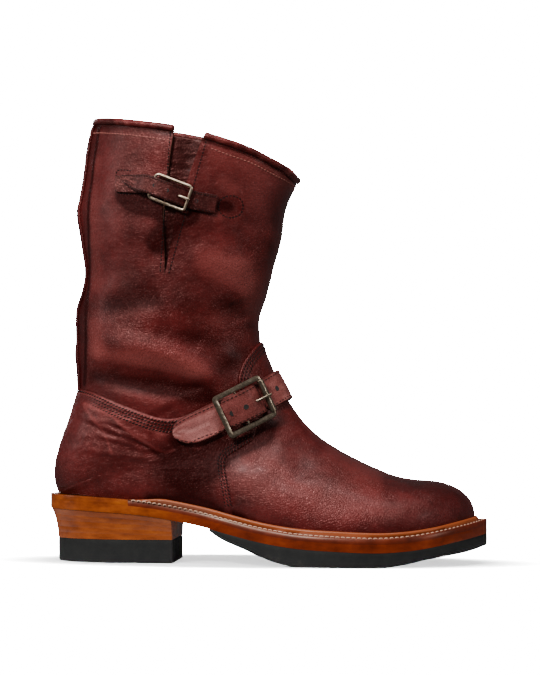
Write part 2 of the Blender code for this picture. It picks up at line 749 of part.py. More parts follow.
def make_vamp(parts):
    """Vamp with its tongue up the instep, from the ridge down to the bottom edge on both sides."""
    seam, tongue = seam_rows()
    edge = tongue + [(row + SEAM_CLEARANCE, v) for row, v in seam]

    def place(row, v):
        return skin(max(row, edge_at(edge, abs(v))), v, PANEL_GAP)

    grid = [[place(row, v) for v in V_COLUMNS] for row in ROWS_BELOW]
    return shell("vamp", [grid], PANEL_THICKNESS, "oxblood_leather", parts)


def make_backstay(parts):
    """Strip up the back of the shaft, from the counter to just below the collar."""
    half = 1 / COLUMNS
    counter_top = spot(*COUNTER_TOP[0], -1)[0]
    top = collar_row(1.0, BINDING_RADIUS * 2 + BINDING_SEAT + GAP)
    rows = [top + (LOWEST_FULL_RING - top) * step / COLLAR_STEPS for step in range(COLLAR_STEPS)]
    rows += [row for row in ROWS_BELOW if row < counter_top - 0.2] + [counter_top - 0.06]
    grid = [[skin(row, 1 + offset, PANEL_GAP) for offset in (-half, 0.0, half)] for row in rows]
    return shell("backstay", [grid], PANEL_THICKNESS, "oxblood_leather", parts)


def make_binding(parts):
    """Rolled edge of the collar, open at the gusset's slit."""
    back = spot(*SLIT_TOP_BACK, -1)[1]
    front = spot(*SLIT_TOP_FRONT, -1)[1]
    count = 36
    end = 2 + back
    points = []
    for step in range(count + 1):
        v = front + (end - front) * step / count
        if v > 1:
            v -= 2
        row = collar_row(v, BINDING_RADIUS)
        points.append(skin(row, v, -UPPER_WALL / 2))
    roll = tube("collar_binding", points, BINDING_RADIUS, "oxblood_leather", parts)
    return as_mesh(roll, "oxblood_leather", parts)


def make_gusset(parts):
    """Folded leather behind the slit, deepest at the collar."""
    back, front, tip = SLIT_TOP_BACK, SLIT_TOP_FRONT, SLIT_TIP
    rows, columns = 9, 8
    grid = []
    for i in range(rows + 1):
        down = i / rows
        line = []
        for j in range(columns + 1):
            across = j / columns
            left = back[0] + (tip[0] - back[0]) * down - GUSSET_OVERLAP
            right = front[0] + (tip[0] - front[0]) * down + GUSSET_OVERLAP
            along = left + (right - left) * across
            level = back[1] + (front[1] - back[1]) * across
            top = level - GUSSET_TOP_DROP
            level = top + (tip[1] - GUSSET_OVERLAP - top) * down
            fold = GUSSET_FOLD * (1 - down) * math.sin(math.pi * across) ** 2
            place = spot(along, level, -1)
            line.append(skin(*place, -(UPPER_WALL + 2 * PANEL_GAP + fold)))
        grid.append(line)
    return shell("gusset", [grid], GUSSET_THICKNESS, "oxblood_leather", parts, outward=False)


def strip_place(edges, along, across):
    """Row and v of a place on a strap: along runs from 0 to 1, across from -1 to 1.

    edges holds the two edges as seen from the side, and the corner at which they pass the ridge.
    """
    upper, lower, ridge_corner = edges
    position = along * (len(upper) - 1)
    high, low = row_value(upper, position), row_value(lower, position)
    share = (across + 1) / 2
    place = (start + (end - start) * share for start, end in zip(low, high))
    side = -1 if position < ridge_corner else 1
    return spot(*place, side)


def strap(name, edges, rows, lift, thickness, fit, columns, parts):
    """Strap between its two edges, rounded at its tip and slim enough to pass its buckle."""
    grid = []
    for across in range(columns + 1):
        share = 1 - 2 * across / columns
        line = []
        for along in rows:
            round_end = min(along / STRAP_TIP, 1.0)
            taper = STRAP_TIP_WIDTH + (1 - STRAP_TIP_WIDTH) * math.sqrt(1 - (1 - round_end) ** 2)
            line.append(skin(*strip_place(edges, along, share * taper * fit), lift(along)))
        grid.append(line)
    return shell(name, [grid], thickness, "strap_leather", parts)


def buckle_frame(edges, bars, lifts):
    """Place of a buckle from its two bars: a matrix and the distance between the bars.

    Each bar clears the strap below it at the middle and at both edges of the strap.
    """
    spans = [[skin(*strip_place(edges, along, across), lift) for across in (-1.0, 0.0, 1.0)]
             for along, lift in zip(bars, lifts)]
    run = spans[1][1] - spans[0][1]
    reach = (spans[0][2] - spans[0][0]) + (spans[1][2] - spans[1][0])
    normal = run.cross(reach).normalized()
    points = [span[1] + normal * max((point - span[1]).dot(normal) for point in span)
              for span in spans]
    run = points[1] - points[0]
    along = run.normalized()
    across = normal.cross(along).normalized()
    matrix = Matrix((along, across, along.cross(across))).transposed().to_4x4()
    matrix.translation = (points[0] + points[1]) / 2
    return matrix, run.length


def rounded_loop(length, width, radius, steps):
    """Corner arcs of a rectangle in its own plane."""
    points = []
    for corner, (sign_x, sign_y) in enumerate(((1, 1), (-1, 1), (-1, -1), (1, -1))):
        centre_x = sign_x * (length / 2 - radius)
        centre_y = sign_y * (width / 2 - radius)
        for step in range(steps + 1):
            angle = math.pi / 2 * (corner + step / steps)
            points.append((centre_x + radius * math.cos(angle), centre_y + radius * math.sin(angle)))
    return points


def make_top_buckle(parts, cutters):
    edges = (TOP_STRAP_UPPER, TOP_STRAP_LOWER, len(TOP_STRAP_UPPER))
    chape_edges = (TOP_CHAPE_UPPER, TOP_CHAPE_LOWER, len(TOP_CHAPE_UPPER))
    grid = [
        [skin(*strip_place(chape_edges, step / 6, 1 - across), PANEL_GAP)
         for step in range(7)]
        for across in range(3)
    ]
    shell("top_chape", [grid], CHAPE_THICKNESS, "strap_leather", parts)
    rows = [0.0, 0.02, 0.04, 0.07] + [0.12 + 0.88 * step / 18 for step in range(19)]

    def lift(along):
        return TOP_STRAP_THICKNESS * curve_value(TOP_STRAP_LIFT, along, 1)

    fit = (TOP_FRAME_WIDTH - 2 * TOP_BAR_RADIUS) / TOP_STRAP_REACH
    band = strap("top_strap", edges, rows, lift, TOP_STRAP_THICKNESS, fit, 3, parts)
    left_lift = PANEL_GAP + CHAPE_THICKNESS + GAP + TOP_BAR_RADIUS
    right_lift = lift(TOP_BARS[1]) + TOP_STRAP_THICKNESS + BUCKLE_GAP + TOP_BAR_RADIUS
    matrix, length = buckle_frame(edges, TOP_BARS, (left_lift, right_lift))
    loop = rounded_loop(length, TOP_FRAME_WIDTH - 2 * TOP_BAR_RADIUS, TOP_BAR_RADIUS * TOP_FRAME_CORNER, 3)
    ring = tube("top_buckle", [matrix @ Vector((x, y, 0.0)) for x, y in loop], TOP_BAR_RADIUS,
                "aged_steel", parts, closed=True)
    as_mesh(ring, "aged_steel", parts)
    tip = matrix @ Vector((length / 2 + PRONG_OVERHANG, 0.0, TOP_BAR_RADIUS + GAP + PRONG_RADIUS))
    stem = matrix @ Vector((length * TOP_STEM_PLACE, 0.0, STEM_HEIGHT))
    root = matrix @ Vector((-length / 2 + TOP_BAR_RADIUS + GAP + PRONG_RADIUS, 0.0, -GAP))
    prong = tube("top_prong", [root, stem, tip], PRONG_RADIUS, "aged_steel", parts)
    as_mesh(prong, "aged_steel", parts)
    hole_cutter("top_hole_cutter", band, root, stem, cutters)


def hole_cutter(name, band, root, stem, cutters):
    """Slot in a strap that its prong comes up through."""
    run = stem - root
    start, end = root - run / 4, stem + run / 3
    bar = tube(name, [start, end], PRONG_RADIUS + 2 * GAP, "strap_leather", cutters)
    cutter = as_mesh(bar, "strap_leather", cutters)
    hide_cutter(cutter)
    cut(band, cutter)


def ankle_edges():
    """Edges of the instep strap, from its tip over the ridge to its sewn end on the inner side."""
    lines = []
    for line, level, end in zip((ANKLE_STRAP_UPPER, ANKLE_STRAP_LOWER), ANKLE_RIDGE_LEVELS,
                                ANKLE_STRAP_INNER_END):
        ridge = (x_along(section(ridge_row(level))[0]), level)
        lines.append((*line, ridge, line[-1], end))
    return (*lines, len(ANKLE_STRAP_UPPER))


def make_ankle_buckle(parts, cutters):
    edges = ankle_edges()
    rows = [0.0, 0.015, 0.035, 0.06] + [0.09 + 0.91 * step / 26 for step in range(27)]

    def lift(along):
        return ANKLE_STRAP_THICKNESS * curve_value(ANKLE_STRAP_LIFT, along, 1)

    fit = (ANKLE_FRAME_WIDTH - 2 * ANKLE_BAR_WIDTH) / ANKLE_STRAP_REACH
    band = strap("instep_strap", edges, rows, lift, ANKLE_STRAP_THICKNESS, fit, 4, parts)
    left_lift = lift(ANKLE_BARS[0]) + ANKLE_STRAP_THICKNESS + BUCKLE_GAP + ANKLE_FRAME_THICKNESS / 2
    right_lift = lift(ANKLE_BARS[1]) + ANKLE_STRAP_THICKNESS + BUCKLE_GAP + ROLLER_RADIUS
    matrix, length = buckle_frame(edges, ANKLE_BARS, (left_lift, right_lift))
    frame_plate(parts, matrix, length)
    end = ANKLE_FRAME_WIDTH / 2 - ANKLE_BAR_WIDTH - GAP
    roller_mesh(parts, matrix, length, end)
    return band, matrix, length


def frame_plate(parts, matrix, length):
    """Flat frame of the instep buckle, with a thin bar on the side that carries the roller."""
    bar = ANKLE_BAR_WIDTH
    thin = ANKLE_FRAME_THICKNESS
    curve = bpy.data.curves.new("instep_buckle", "CURVE")
    curve.dimensions = "2D"
    curve.fill_mode = "BOTH"
    curve.extrude = ANKLE_FRAME_THICKNESS / 2
    left = -length / 2 - bar / 2
    right = length / 2 + thin / 2
    outer = rounded_loop(right - left, ANKLE_FRAME_WIDTH, bar * 0.8, 3)
    window = rounded_loop(right - thin - left - bar, ANKLE_FRAME_WIDTH - 2 * bar, bar * 0.2, 2)
    shift = ((left + right) / 2, (left + bar + right - thin) / 2)
    for loop, move in zip((outer, window), shift):
        spline = curve.splines.new("POLY")
        spline.points.add(len(loop) - 1)
        for place, (x, y) in zip(spline.points, loop):
            place.co = (x + move, y, 0.0, 1.0)
        spline.use_cyclic_u = True
    plate = bpy.data.objects.new("instep_buckle", curve)
    parts.objects.link(plate)
    plate.matrix_world = matrix
    as_mesh(plate, "aged_brass", parts)


def roller_mesh(parts, matrix, length, end):
    """Tube that turns on the thin bar of the instep buckle."""
    sides = 14
    profile = ((ROLLER_BORE, -end), (ROLLER_RADIUS, -end), (ROLLER_RADIUS, end), (ROLLER_BORE, end))
    grid = []
    for step in range(sides):
        angle = 2 * math.pi * step / sides
        grid.append([
            matrix @ Vector((length / 2 + radius * math.cos(angle), y, radius * math.sin(angle)))
            for radius, y in profile
        ])
    grid.append(grid[0])
    mesh = grid_mesh("instep_roller", grid, wrap=True)
    bm = bmesh.new()
    bm.from_mesh(mesh)
    bmesh.ops.recalc_face_normals(bm, faces=bm.faces)
    bm.to_mesh(mesh)
    bm.free()
    mesh_object("instep_roller", mesh, "aged_brass", parts)


def make_ankle_bar(parts, cutters, band, matrix, length):
    """Dropped centre bar under the strap, and the prong that rises through it to the roller."""
    half = ANKLE_FRAME_THICKNESS / 2
    low = -half - GAP - CENTRE_BAR_RADIUS
    centre = length * ANKLE_CENTRE_BAR
    reach = ANKLE_FRAME_WIDTH / 2 - ANKLE_BAR_WIDTH / 2
    bar = tube("instep_centre_bar",
               [matrix @ Vector((centre, y, low)) for y in (-reach, reach)],
               CENTRE_BAR_RADIUS, "aged_brass", parts)
    as_mesh(bar, "aged_brass", parts)
    root = matrix @ Vector((centre + CENTRE_BAR_RADIUS + GAP + PRONG_RADIUS, 0.0, low))
    stem = matrix @ Vector((centre + ANKLE_STEM_RUN, 0.0, ROLLER_RADIUS + GAP))
    tip = matrix @ Vector((length / 2 + PRONG_OVERHANG, 0.0, ROLLER_RADIUS + GAP + PRONG_RADIUS))
    prong = tube("instep_prong", [root, stem, tip], PRONG_RADIUS, "aged_brass", parts)
    as_mesh(prong, "aged_brass", parts)
    hole_cutter("instep_hole_cutter", band, root, stem, cutters)


def main():
    for thing in list(bpy.data.objects):
        bpy.data.objects.remove(thing)
    scene = bpy.context.scene
    parts = bpy.data.collections.new("engineer_boot")
    cutters = bpy.data.collections.new("cutters")
    scene.collection.children.link(parts)
    scene.collection.children.link(cutters)
    make_upper(parts, cutters)
    make_sole(parts)
    make_heel(parts)
    make_welt(parts)
    make_vamp(parts)
    make_counter(parts)
    make_backstay(parts)
    make_binding(parts)
    make_gusset(parts)
    make_top_buckle(parts, cutters)
    band, matrix, length = make_ankle_buckle(parts, cutters)
    make_ankle_bar(parts, cutters, band, matrix, length)


main()
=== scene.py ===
"""Looks of the engineer boot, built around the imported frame.

The outer face of the upper is surface(row, v), the same as in the part's source: rows run from the
collar to the toe, v is 0 on the front ridge, -1 at the outer end of a section and 1 at the inner
end. Panels, folds, seams and straps are placed on it by along and level: along is a share of the foot
length, level is 0 on the insole, 1 at the instep and 2 at the top. All sizes are in metres.
"""
import math

import bmesh
import bpy
import numpy as np
from mathutils import Matrix, Vector


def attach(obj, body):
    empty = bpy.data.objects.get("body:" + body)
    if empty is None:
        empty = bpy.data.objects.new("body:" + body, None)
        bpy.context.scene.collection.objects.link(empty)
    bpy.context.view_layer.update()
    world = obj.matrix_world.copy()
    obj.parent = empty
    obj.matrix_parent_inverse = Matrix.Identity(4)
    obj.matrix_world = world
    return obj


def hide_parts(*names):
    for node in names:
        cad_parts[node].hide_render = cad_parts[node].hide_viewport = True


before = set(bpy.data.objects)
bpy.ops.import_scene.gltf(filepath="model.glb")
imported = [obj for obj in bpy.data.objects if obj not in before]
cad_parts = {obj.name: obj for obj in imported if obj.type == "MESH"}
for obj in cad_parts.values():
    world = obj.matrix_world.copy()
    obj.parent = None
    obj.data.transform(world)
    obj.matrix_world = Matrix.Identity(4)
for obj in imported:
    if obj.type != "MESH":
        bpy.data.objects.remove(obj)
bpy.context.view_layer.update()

# Sizes of the last and of the boot's layers, in metres. Most are the part's own. The rib, the heel's
# flare, the straps' lift and the counter's front edge are set a little otherwise, for the looks.
FOOT_LENGTH = 0.2881
HEEL_X = -0.5069 * FOOT_LENGTH
BALL_WIDTH = 0.093
AXIS_Y = 0.0009
INSTEP_HEIGHT = 0.131
BOOT_HEIGHT = 0.307
SEAT_AT_BALL = 0.0205
SEAT_AT_HEEL = 0.047
GAP = 0.0003
UPPER_WALL = 0.0022
PANEL_GAP = 0.0006
PANEL_THICKNESS = 0.0011
PANEL_TOP = PANEL_GAP + PANEL_THICKNESS
WELT_THICKNESS = 0.004
WELT_DROP = 0.0006
RIB_HEIGHT = 0.0030
RIB_WIDTH = 0.0024
MIDSOLE_THICKNESS = 0.0054
TOP_LIFT_HEIGHT = 0.016
HEEL_LIFTS = 5
HEEL_TAPER = 0.0058
HEEL_FLARE_POWER = 3.4
HEEL_FLARE_TOP = 0.0376
BINDING_RADIUS = 0.0022
ANKLE_STRAP_THICKNESS = 0.0026
TOP_STRAP_THICKNESS = 0.0019
CHAPE_THICKNESS = 0.0012
BUCKLE_GAP = 0.0010
PRONG_RADIUS = 0.0010
TOP_FRAME_WIDTH = 0.0192
TOP_BAR_RADIUS = 0.0011
ANKLE_FRAME_WIDTH = 0.0314
ANKLE_BAR_WIDTH = 0.0036
ANKLE_FRAME_THICKNESS = 0.0020
ROLLER_RADIUS = 0.0023

SEAT_LINE = (
    (0.0, 1.0), (0.100, 0.96), (0.216, 0.868), (0.350, 0.623), (0.428, 0.415), (0.506, 0.226),
    (0.590, 0.094), (0.677, 0.038), (0.782, 0.0), (0.848, 0.035), (0.903, 0.11), (0.962, 0.23),
    (1.004, 0.32), (1.042, 0.41),
)
TREAD_LINE = (
    (0.386, 1.10), (0.397, 0.98), (0.421, 0.80), (0.474, 0.507), (0.506, 0.327), (0.544, 0.146),
    (0.595, 0.0), (0.69, 0.0), (0.795, 0.0), (0.845, 0.105), (0.907, 0.278), (0.993, 0.454),
    (1.041, 0.634),
)
OUTLINE = (
    (0.0, 0.0, 0.0), (0.009, 0.102, 0.102), (0.032, 0.181, 0.181), (0.07, 0.253, 0.253),
    (0.122, 0.301, 0.301), (0.188, 0.323, 0.317), (0.268, 0.317, 0.301), (0.355, 0.328, 0.285),
    (0.448, 0.376, 0.306), (0.539, 0.43, 0.355), (0.625, 0.484, 0.43), (0.705, 0.505, 0.484),
    (0.775, 0.495, 0.489), (0.837, 0.452, 0.462), (0.888, 0.387, 0.425), (0.927, 0.301, 0.355),
    (0.959, 0.199, 0.269), (0.98, 0.102, 0.194), (0.993, 0.022, 0.134), (0.999, -0.019, 0.081),
    (1.0, -0.046, 0.046),
)
SOLE_MARGIN = (
    (0.0, 0.066), (0.1, 0.056), (0.2, 0.045), (0.3, 0.040), (0.4, 0.050), (0.5, 0.075),
    (0.6, 0.090), (0.8, 0.094), (1.0, 0.108),
)
# Sections of the upper: front along and level, back along and level, ridge, outer and inner half
# width in ball widths, roundness of the front and the back half
SECTIONS = (
    (0.625, 2.028, 0.096, 2.034, 0.0, 0.527, 0.527, 1.0, 1.0),
    (0.603, 1.886, 0.074, 1.886, 0.0, 0.527, 0.527, 1.0, 1.0),
    (0.58, 1.761, 0.063, 1.761, 0.0, 0.522, 0.522, 1.0, 1.0),
    (0.555, 1.636, 0.053, 1.636, 0.0, 0.511, 0.511, 1.0, 1.0),
    (0.539, 1.517, 0.06, 1.517, 0.0, 0.5, 0.5, 1.0, 1.0),
    (0.52, 1.403, 0.069, 1.398, 0.0, 0.484, 0.484, 1.0, 1.0),
    (0.506, 1.301, 0.061, 1.312, 0.0, 0.473, 0.473, 1.0, 1.0),
    (0.488, 1.21, 0.047, 1.21, 0.0, 0.462, 0.462, 1.0, 1.0),
    (0.489, 1.125, 0.046, 1.108, 0.0, 0.452, 0.452, 1.0, 0.98),
    (0.501, 1.06, 0.05, 0.988, 0.0, 0.435, 0.435, 1.0, 0.95),
    (0.514, 1.006, 0.049, 0.787, 0.0, 0.419, 0.419, 1.0, 0.92),
    (0.527, 0.943, 0.034, 0.609, 0.0, 0.409, 0.409, 1.0, 0.88),
    (0.539, 0.885, 0.009, 0.441, 0.0, 0.403, 0.403, 1.0, 0.84),
    (0.547, 0.836, -0.005, 0.274, 0.0, 0.392, 0.392, 1.0, 0.8),
    (0.554, 0.809, -0.01, 0.131, 0.0, 0.376, 0.376, 1.0, 0.78),
    (0.56, 0.786, 0.0, 0.0, 0.0, 0.366, 0.366, 1.0, 0.76),
    (0.562, 0.775, 0.009, 0.0, 0.0, 0.366, 0.366, 1.0, 0.78),
    (0.566, 0.761, 0.032, 0.0, 0.0, 0.366, 0.366, 1.0, 0.8),
    (0.571, 0.743, 0.07, 0.0, 0.0, 0.368, 0.368, 1.02, 0.85),
    (0.578, 0.718, 0.122, 0.0, 0.003, 0.372, 0.366, 1.03, 0.9),
    (0.589, 0.68, 0.188, 0.0, 0.009, 0.387, 0.366, 1.04, 0.95),
    (0.605, 0.633, 0.268, 0.0, 0.016, 0.403, 0.371, 1.05, 1.0),
    (0.625, 0.587, 0.355, 0.0, 0.024, 0.435, 0.382, 1.05, 1.0),
    (0.653, 0.534, 0.448, 0.0, 0.03, 0.473, 0.398, 1.05, 1.0),
    (0.688, 0.481, 0.539, 0.0, 0.034, 0.511, 0.419, 1.04, 1.0),
    (0.726, 0.43, 0.625, 0.0, 0.037, 0.543, 0.452, 1.02, 1.0),
    (0.768, 0.383, 0.705, 0.0, 0.039, 0.557, 0.478, 1.0, 1.0),
    (0.813, 0.336, 0.775, 0.0, 0.041, 0.548, 0.478, 0.98, 1.0),
    (0.858, 0.308, 0.837, 0.0, 0.043, 0.51, 0.446, 0.95, 1.0),
    (0.896, 0.293, 0.888, 0.0, 0.044, 0.446, 0.403, 0.92, 1.0),
    (0.929, 0.268, 0.927, 0.0, 0.045, 0.361, 0.333, 0.92, 1.0),
    (0.957, 0.228, 0.959, 0.0, 0.046, 0.258, 0.243, 0.92, 1.0),
    (0.978, 0.179, 0.98, 0.0, 0.046, 0.159, 0.159, 0.92, 1.0),
    (0.992, 0.124, 0.993, 0.0, 0.046, 0.078, 0.097, 0.94, 1.0),
    (0.999, 0.062, 0.999, 0.0, 0.046, 0.032, 0.041, 0.96, 1.0),
    (1.0, 0.004, 1.0, 0.0, 0.046, 0.0, 0.0, 1.0, 1.0),
)
HEEL_ROW = 15
WELT_START_ROW = 20
TOE_ROW = len(SECTIONS) - 1

COLLAR_LINE = (
    (0.077, 2.003), (0.098, 2.0), (0.15, 1.991), (0.219, 1.977), (0.29, 1.96), (0.362, 1.935),
    (0.438, 1.898), (0.487, 1.869), (0.534, 1.828), (0.558, 1.807), (0.58, 1.767), (0.6, 1.744),
)
SLIT_TOP_BACK = (0.309, 1.96)
SLIT_TOP_FRONT = (0.380, 1.935)
SLIT_TIP = (0.280, 1.375)
TOP_STRAP_UPPER = ((0.177, 1.767), (0.223, 1.768), (0.258, 1.764), (0.346, 1.710), (0.406, 1.691))
TOP_STRAP_LOWER = ((0.182, 1.741), (0.214, 1.702), (0.247, 1.688), (0.342, 1.628), (0.398, 1.608))
TOP_CHAPE_UPPER = ((0.161, 1.765), (0.207, 1.758), (0.258, 1.748))
TOP_CHAPE_LOWER = ((0.164, 1.700), (0.207, 1.695), (0.258, 1.690))
ANKLE_STRAP_UPPER = ((0.294, 0.593), (0.318, 0.681), (0.390, 0.799), (0.481, 0.937))
ANKLE_STRAP_LOWER = ((0.300, 0.508), (0.350, 0.479), (0.424, 0.593), (0.518, 0.744))
ANKLE_RIDGE_LEVELS = (1.002, 0.801)
ANKLE_STRAP_INNER_END = ((0.40, 0.84), (0.39, 0.58))
COUNTER_TOP = (
    (0.046, 0.870), (0.101, 0.841), (0.192, 0.724), (0.292, 0.654), (0.392, 0.794), (0.471, 0.912),
)
COUNTER_FRONT = (
    (0.448, 0.79), (0.484, 0.66), (0.487, 0.560), (0.458, 0.485), (0.427, 0.410), (0.426, 0.335),
    (0.436, 0.22), (0.450, 0.0),
)
TONGUE_LINE = ((0.4915, 1.120), (0.476, 1.085), (0.455, 1.02), (0.448, 0.93), (0.451, 0.85))
TOP_STRAP_LIFT = (
    (0.0, 1.35), (0.2, 1.45), (0.4, 2.6), (0.517, 3.3), (0.58, 3.5), (0.64, 3.0), (0.69, 1.5),
    (0.737, 0.35), (1.0, 0.35),
)
TOP_BARS = (0.517, 0.737)
ANKLE_STRAP_LIFT = (
    (0.0, 1.1), (0.28, 1.1), (0.345, 1.15), (0.385, 2.3), (0.412, 2.9), (0.445, 3.0), (0.468, 2.3),
    (0.49, 1.15), (0.6, 1.05), (0.75, 1.3), (0.85, 1.5), (1.0, 1.5),
)
ANKLE_BARS = (0.338, 0.50)
ANKLE_CENTRE_BAR = -0.06
SEAM_OVERLAP = 0.35            # rows the vamp runs on below the counter
SEAM_STEP = 0.0007              # how much lower it lies there

# Soft folds of the leather: depth and width in metres, then places as along and level.
# A positive depth is a ridge, a negative one a trough. Depths are of the outer side.
FOLDS = (
    (0.0011, 0.010, ((0.360, 1.509), (0.410, 1.425), (0.490, 1.382))),
    (0.0010, 0.008, ((0.165, 1.212), (0.264, 1.209), (0.319, 1.179), (0.394, 1.179))),
    (0.0022, 0.008, ((0.117, 1.125), (0.244, 1.094), (0.328, 1.040), (0.403, 0.950))),
    (0.0014, 0.006, ((0.105, 0.890), (0.186, 0.819), (0.276, 0.751), (0.343, 0.782))),
    (-0.0013, 0.010, ((0.111, 1.267), (0.225, 1.282), (0.271, 1.313))),
    (-0.0013, 0.009, ((0.249, 1.171), (0.319, 1.156), (0.376, 1.106))),
    (-0.0018, 0.008, ((0.089, 1.010), (0.224, 0.957), (0.336, 0.892), (0.374, 0.833))),
    (-0.0012, 0.010, ((0.453, 1.455), (0.532, 1.486))),
    (-0.0010, 0.009, ((0.437, 1.279), (0.459, 1.194))),
    (0.0009, 0.012, ((0.133, 1.560), (0.217, 1.540), (0.268, 1.480))),
    (-0.0010, 0.012, ((0.416, 1.620), (0.454, 1.560), (0.527, 1.580))),
    (0.0007, 0.0028, ((0.067, 0.636), (0.147, 0.539), (0.243, 0.455), (0.298, 0.398))),
    (-0.0009, 0.0022, ((0.071, 0.606), (0.147, 0.509), (0.243, 0.425), (0.303, 0.378))),
    (0.0005, 0.0022, ((0.098, 0.614), (0.166, 0.581), (0.216, 0.508), (0.269, 0.447))),
    (-0.0006, 0.0018, ((0.098, 0.596), (0.166, 0.561), (0.216, 0.488), (0.269, 0.427))),
    (0.0004, 0.0020, ((0.078, 0.493), (0.185, 0.458), (0.260, 0.399))),
    (-0.0004, 0.0018, ((0.068, 0.556), (0.127, 0.466), (0.222, 0.386))),
    (0.0005, 0.0022, ((0.147, 0.673), (0.195, 0.622), (0.244, 0.600), (0.282, 0.555))),
    (0.0004, 0.0022, ((0.079, 0.381), (0.175, 0.347), (0.269, 0.327))),
    (-0.0012, 0.010, ((0.566, 0.600), (0.596, 0.450), (0.615, 0.300))),
    (0.0010, 0.009, ((0.512, 0.460), (0.574, 0.350), (0.657, 0.200))),
    (-0.0008, 0.0055, ((0.415, 1.641), (0.437, 1.641), (0.460, 1.642))),
)


def curve_value(rows, key, column):
    """Value of one column of a table at a key, along a smooth curve through its rows."""
    if key <= rows[0][0]:
        return rows[0][column]
    for i in range(len(rows) - 1):
        if key <= rows[i + 1][0]:
            break
    else:
        return rows[-1][column]

    def slope(j):
        low, high = max(j - 1, 0), min(j + 1, len(rows) - 1)
        return (rows[high][column] - rows[low][column]) / (rows[high][0] - rows[low][0])

    span = rows[i + 1][0] - rows[i][0]
    t = (key - rows[i][0]) / span
    start, end = rows[i][column], rows[i + 1][column]
    return (
        (2 * t**3 - 3 * t**2 + 1) * start
        + (t**3 - 2 * t**2 + t) * span * slope(i)
        + (3 * t**2 - 2 * t**3) * end
        + (t**3 - t**2) * span * slope(i + 1)
    )


def sampled(rows, column=1, count=1200):
    """Function of an array of keys that follows curve_value closely."""
    keys = np.linspace(rows[0][0], rows[-1][0], count)
    values = np.array([curve_value(rows, key, column) for key in keys])
    return lambda key: np.interp(key, keys, values)


def row_values(table, position):
    """Columns of a table at positions between its rows. The result's last axis is the column."""
    table = np.asarray(table, float)
    position = np.asarray(position, float)
    i = np.clip(np.floor(position).astype(int), 0, len(table) - 2)
    t = (position - i)[..., None]
    a, b = table[np.maximum(i - 1, 0)], table[i]
    c, d = table[i + 1], table[np.minimum(i + 2, len(table) - 1)]
    return 0.5 * (
        2 * b + (c - a) * t + (2 * a - 5 * b + 4 * c - d) * t**2 + (3 * b - a - 3 * c + d) * t**3)


def solve(function, low, high, steps=36):
    """Places where a function falls through zero, by halving, for whole arrays at once."""
    low, high = np.array(low, float), np.array(high, float)
    for _ in range(steps):
        middle = (low + high) / 2
        ahead = function(middle) > 0
        low, high = np.where(ahead, middle, low), np.where(ahead, high, middle)
    return (low + high) / 2


seat_share = sampled(SEAT_LINE)
margin_share = sampled(SOLE_MARGIN)
tread_share = sampled(TREAD_LINE)
collar_level = sampled(COLLAR_LINE)
OUTLINE_STEPS = np.linspace(0, len(OUTLINE) - 1, 4001)
OUTLINE_POINTS = row_values(OUTLINE, OUTLINE_STEPS)
OUTLINE_ALONG = np.maximum.accumulate(OUTLINE_POINTS[:, 0])


def x_at(along):
    return HEEL_X + np.asarray(along) * FOOT_LENGTH


def x_along(x):
    return (x - HEEL_X) / FOOT_LENGTH


def seat(x):
    return SEAT_AT_BALL + (SEAT_AT_HEEL - SEAT_AT_BALL) * seat_share(x_along(x))


def height(x, level):
    low = seat(x) + level * (INSTEP_HEIGHT - seat(x))
    high = INSTEP_HEIGHT + (level - 1) * (BOOT_HEIGHT - INSTEP_HEIGHT)
    return np.where(np.asarray(level) <= 1, low, high)


def level_at(x, z):
    low = (z - seat(x)) / (INSTEP_HEIGHT - seat(x))
    return np.where(z <= INSTEP_HEIGHT, low, 1 + (z - INSTEP_HEIGHT) / (BOOT_HEIGHT - INSTEP_HEIGHT))


def outline_half(x, column):
    share = np.interp(x_along(x), OUTLINE_ALONG, OUTLINE_POINTS[:, column])
    return share * BALL_WIDTH


SECTION_ROWS = []
for row in SECTIONS:
    front, back = x_at(row[0]), x_at(row[2])
    SECTION_ROWS.append((front, float(height(front, row[1])), back, float(height(back, row[3])),
                         row[4] * BALL_WIDTH, row[5] * BALL_WIDTH, row[6] * BALL_WIDTH, *row[7:]))


def sections(row):
    """Values of the sections at an array of rows: columns of the table, then both end angles."""
    values = row_values(SECTION_ROWS, np.minimum(row, TOE_ROW))
    front_x, front_z, back_x, back_z, ridge, outer, inner, round_front, round_back = np.moveaxis(
        values, -1, 0)
    foot = np.asarray(row) > HEEL_ROW
    back_z = np.where(foot, seat(back_x), back_z)
    ends = []
    for sign, column, wide in ((1, 1, outer), (-1, 2, inner)):
        edge = np.maximum(outline_half(back_x, column) + sign * ridge, 0.0)
        share = np.clip(edge / np.maximum(wide, 1e-6), 0.0, 1.0)
        ends.append(np.where(foot, math.pi - np.arcsin(share ** (1 / round_back)), math.pi))
    return (front_x, front_z, back_x, back_z, ridge, outer, inner, round_front, round_back, *ends)


def surface(row, v):
    """Points of the outer face at arrays of rows and v."""
    row, v = np.broadcast_arrays(np.asarray(row, float), np.asarray(v, float))
    ring = row <= HEEL_ROW
    v = np.where(ring & (v > 1), v - 2, np.where(ring & (v < -1), v + 2, v))
    front_x, front_z, back_x, back_z, ridge, outer, inner, round_front, round_back, out, inn = sections(row)
    sign = np.where(v >= 0, 1.0, -1.0)
    end = np.where(v >= 0, inn, out)
    angle = np.minimum(np.abs(v) * end, math.pi)
    share = (1 - np.cos(angle)) / (1 - np.cos(end))
    power = np.where(angle < math.pi / 2, round_front, round_back)
    wide = np.where(v >= 0, inner, outer)
    power = 1 + (power - 1) * smooth(0.0, 0.9, angle)
    side = np.maximum(np.sin(angle), 0.0) ** power
    return np.stack((front_x + (back_x - front_x) * share, AXIS_Y + ridge + sign * wide * side,
                     front_z + (back_z - front_z) * share), axis=-1)


def unit(vectors):
    """The same directions, each of length 1."""
    return vectors / np.maximum(np.linalg.norm(vectors, axis=-1, keepdims=True), 1e-12)


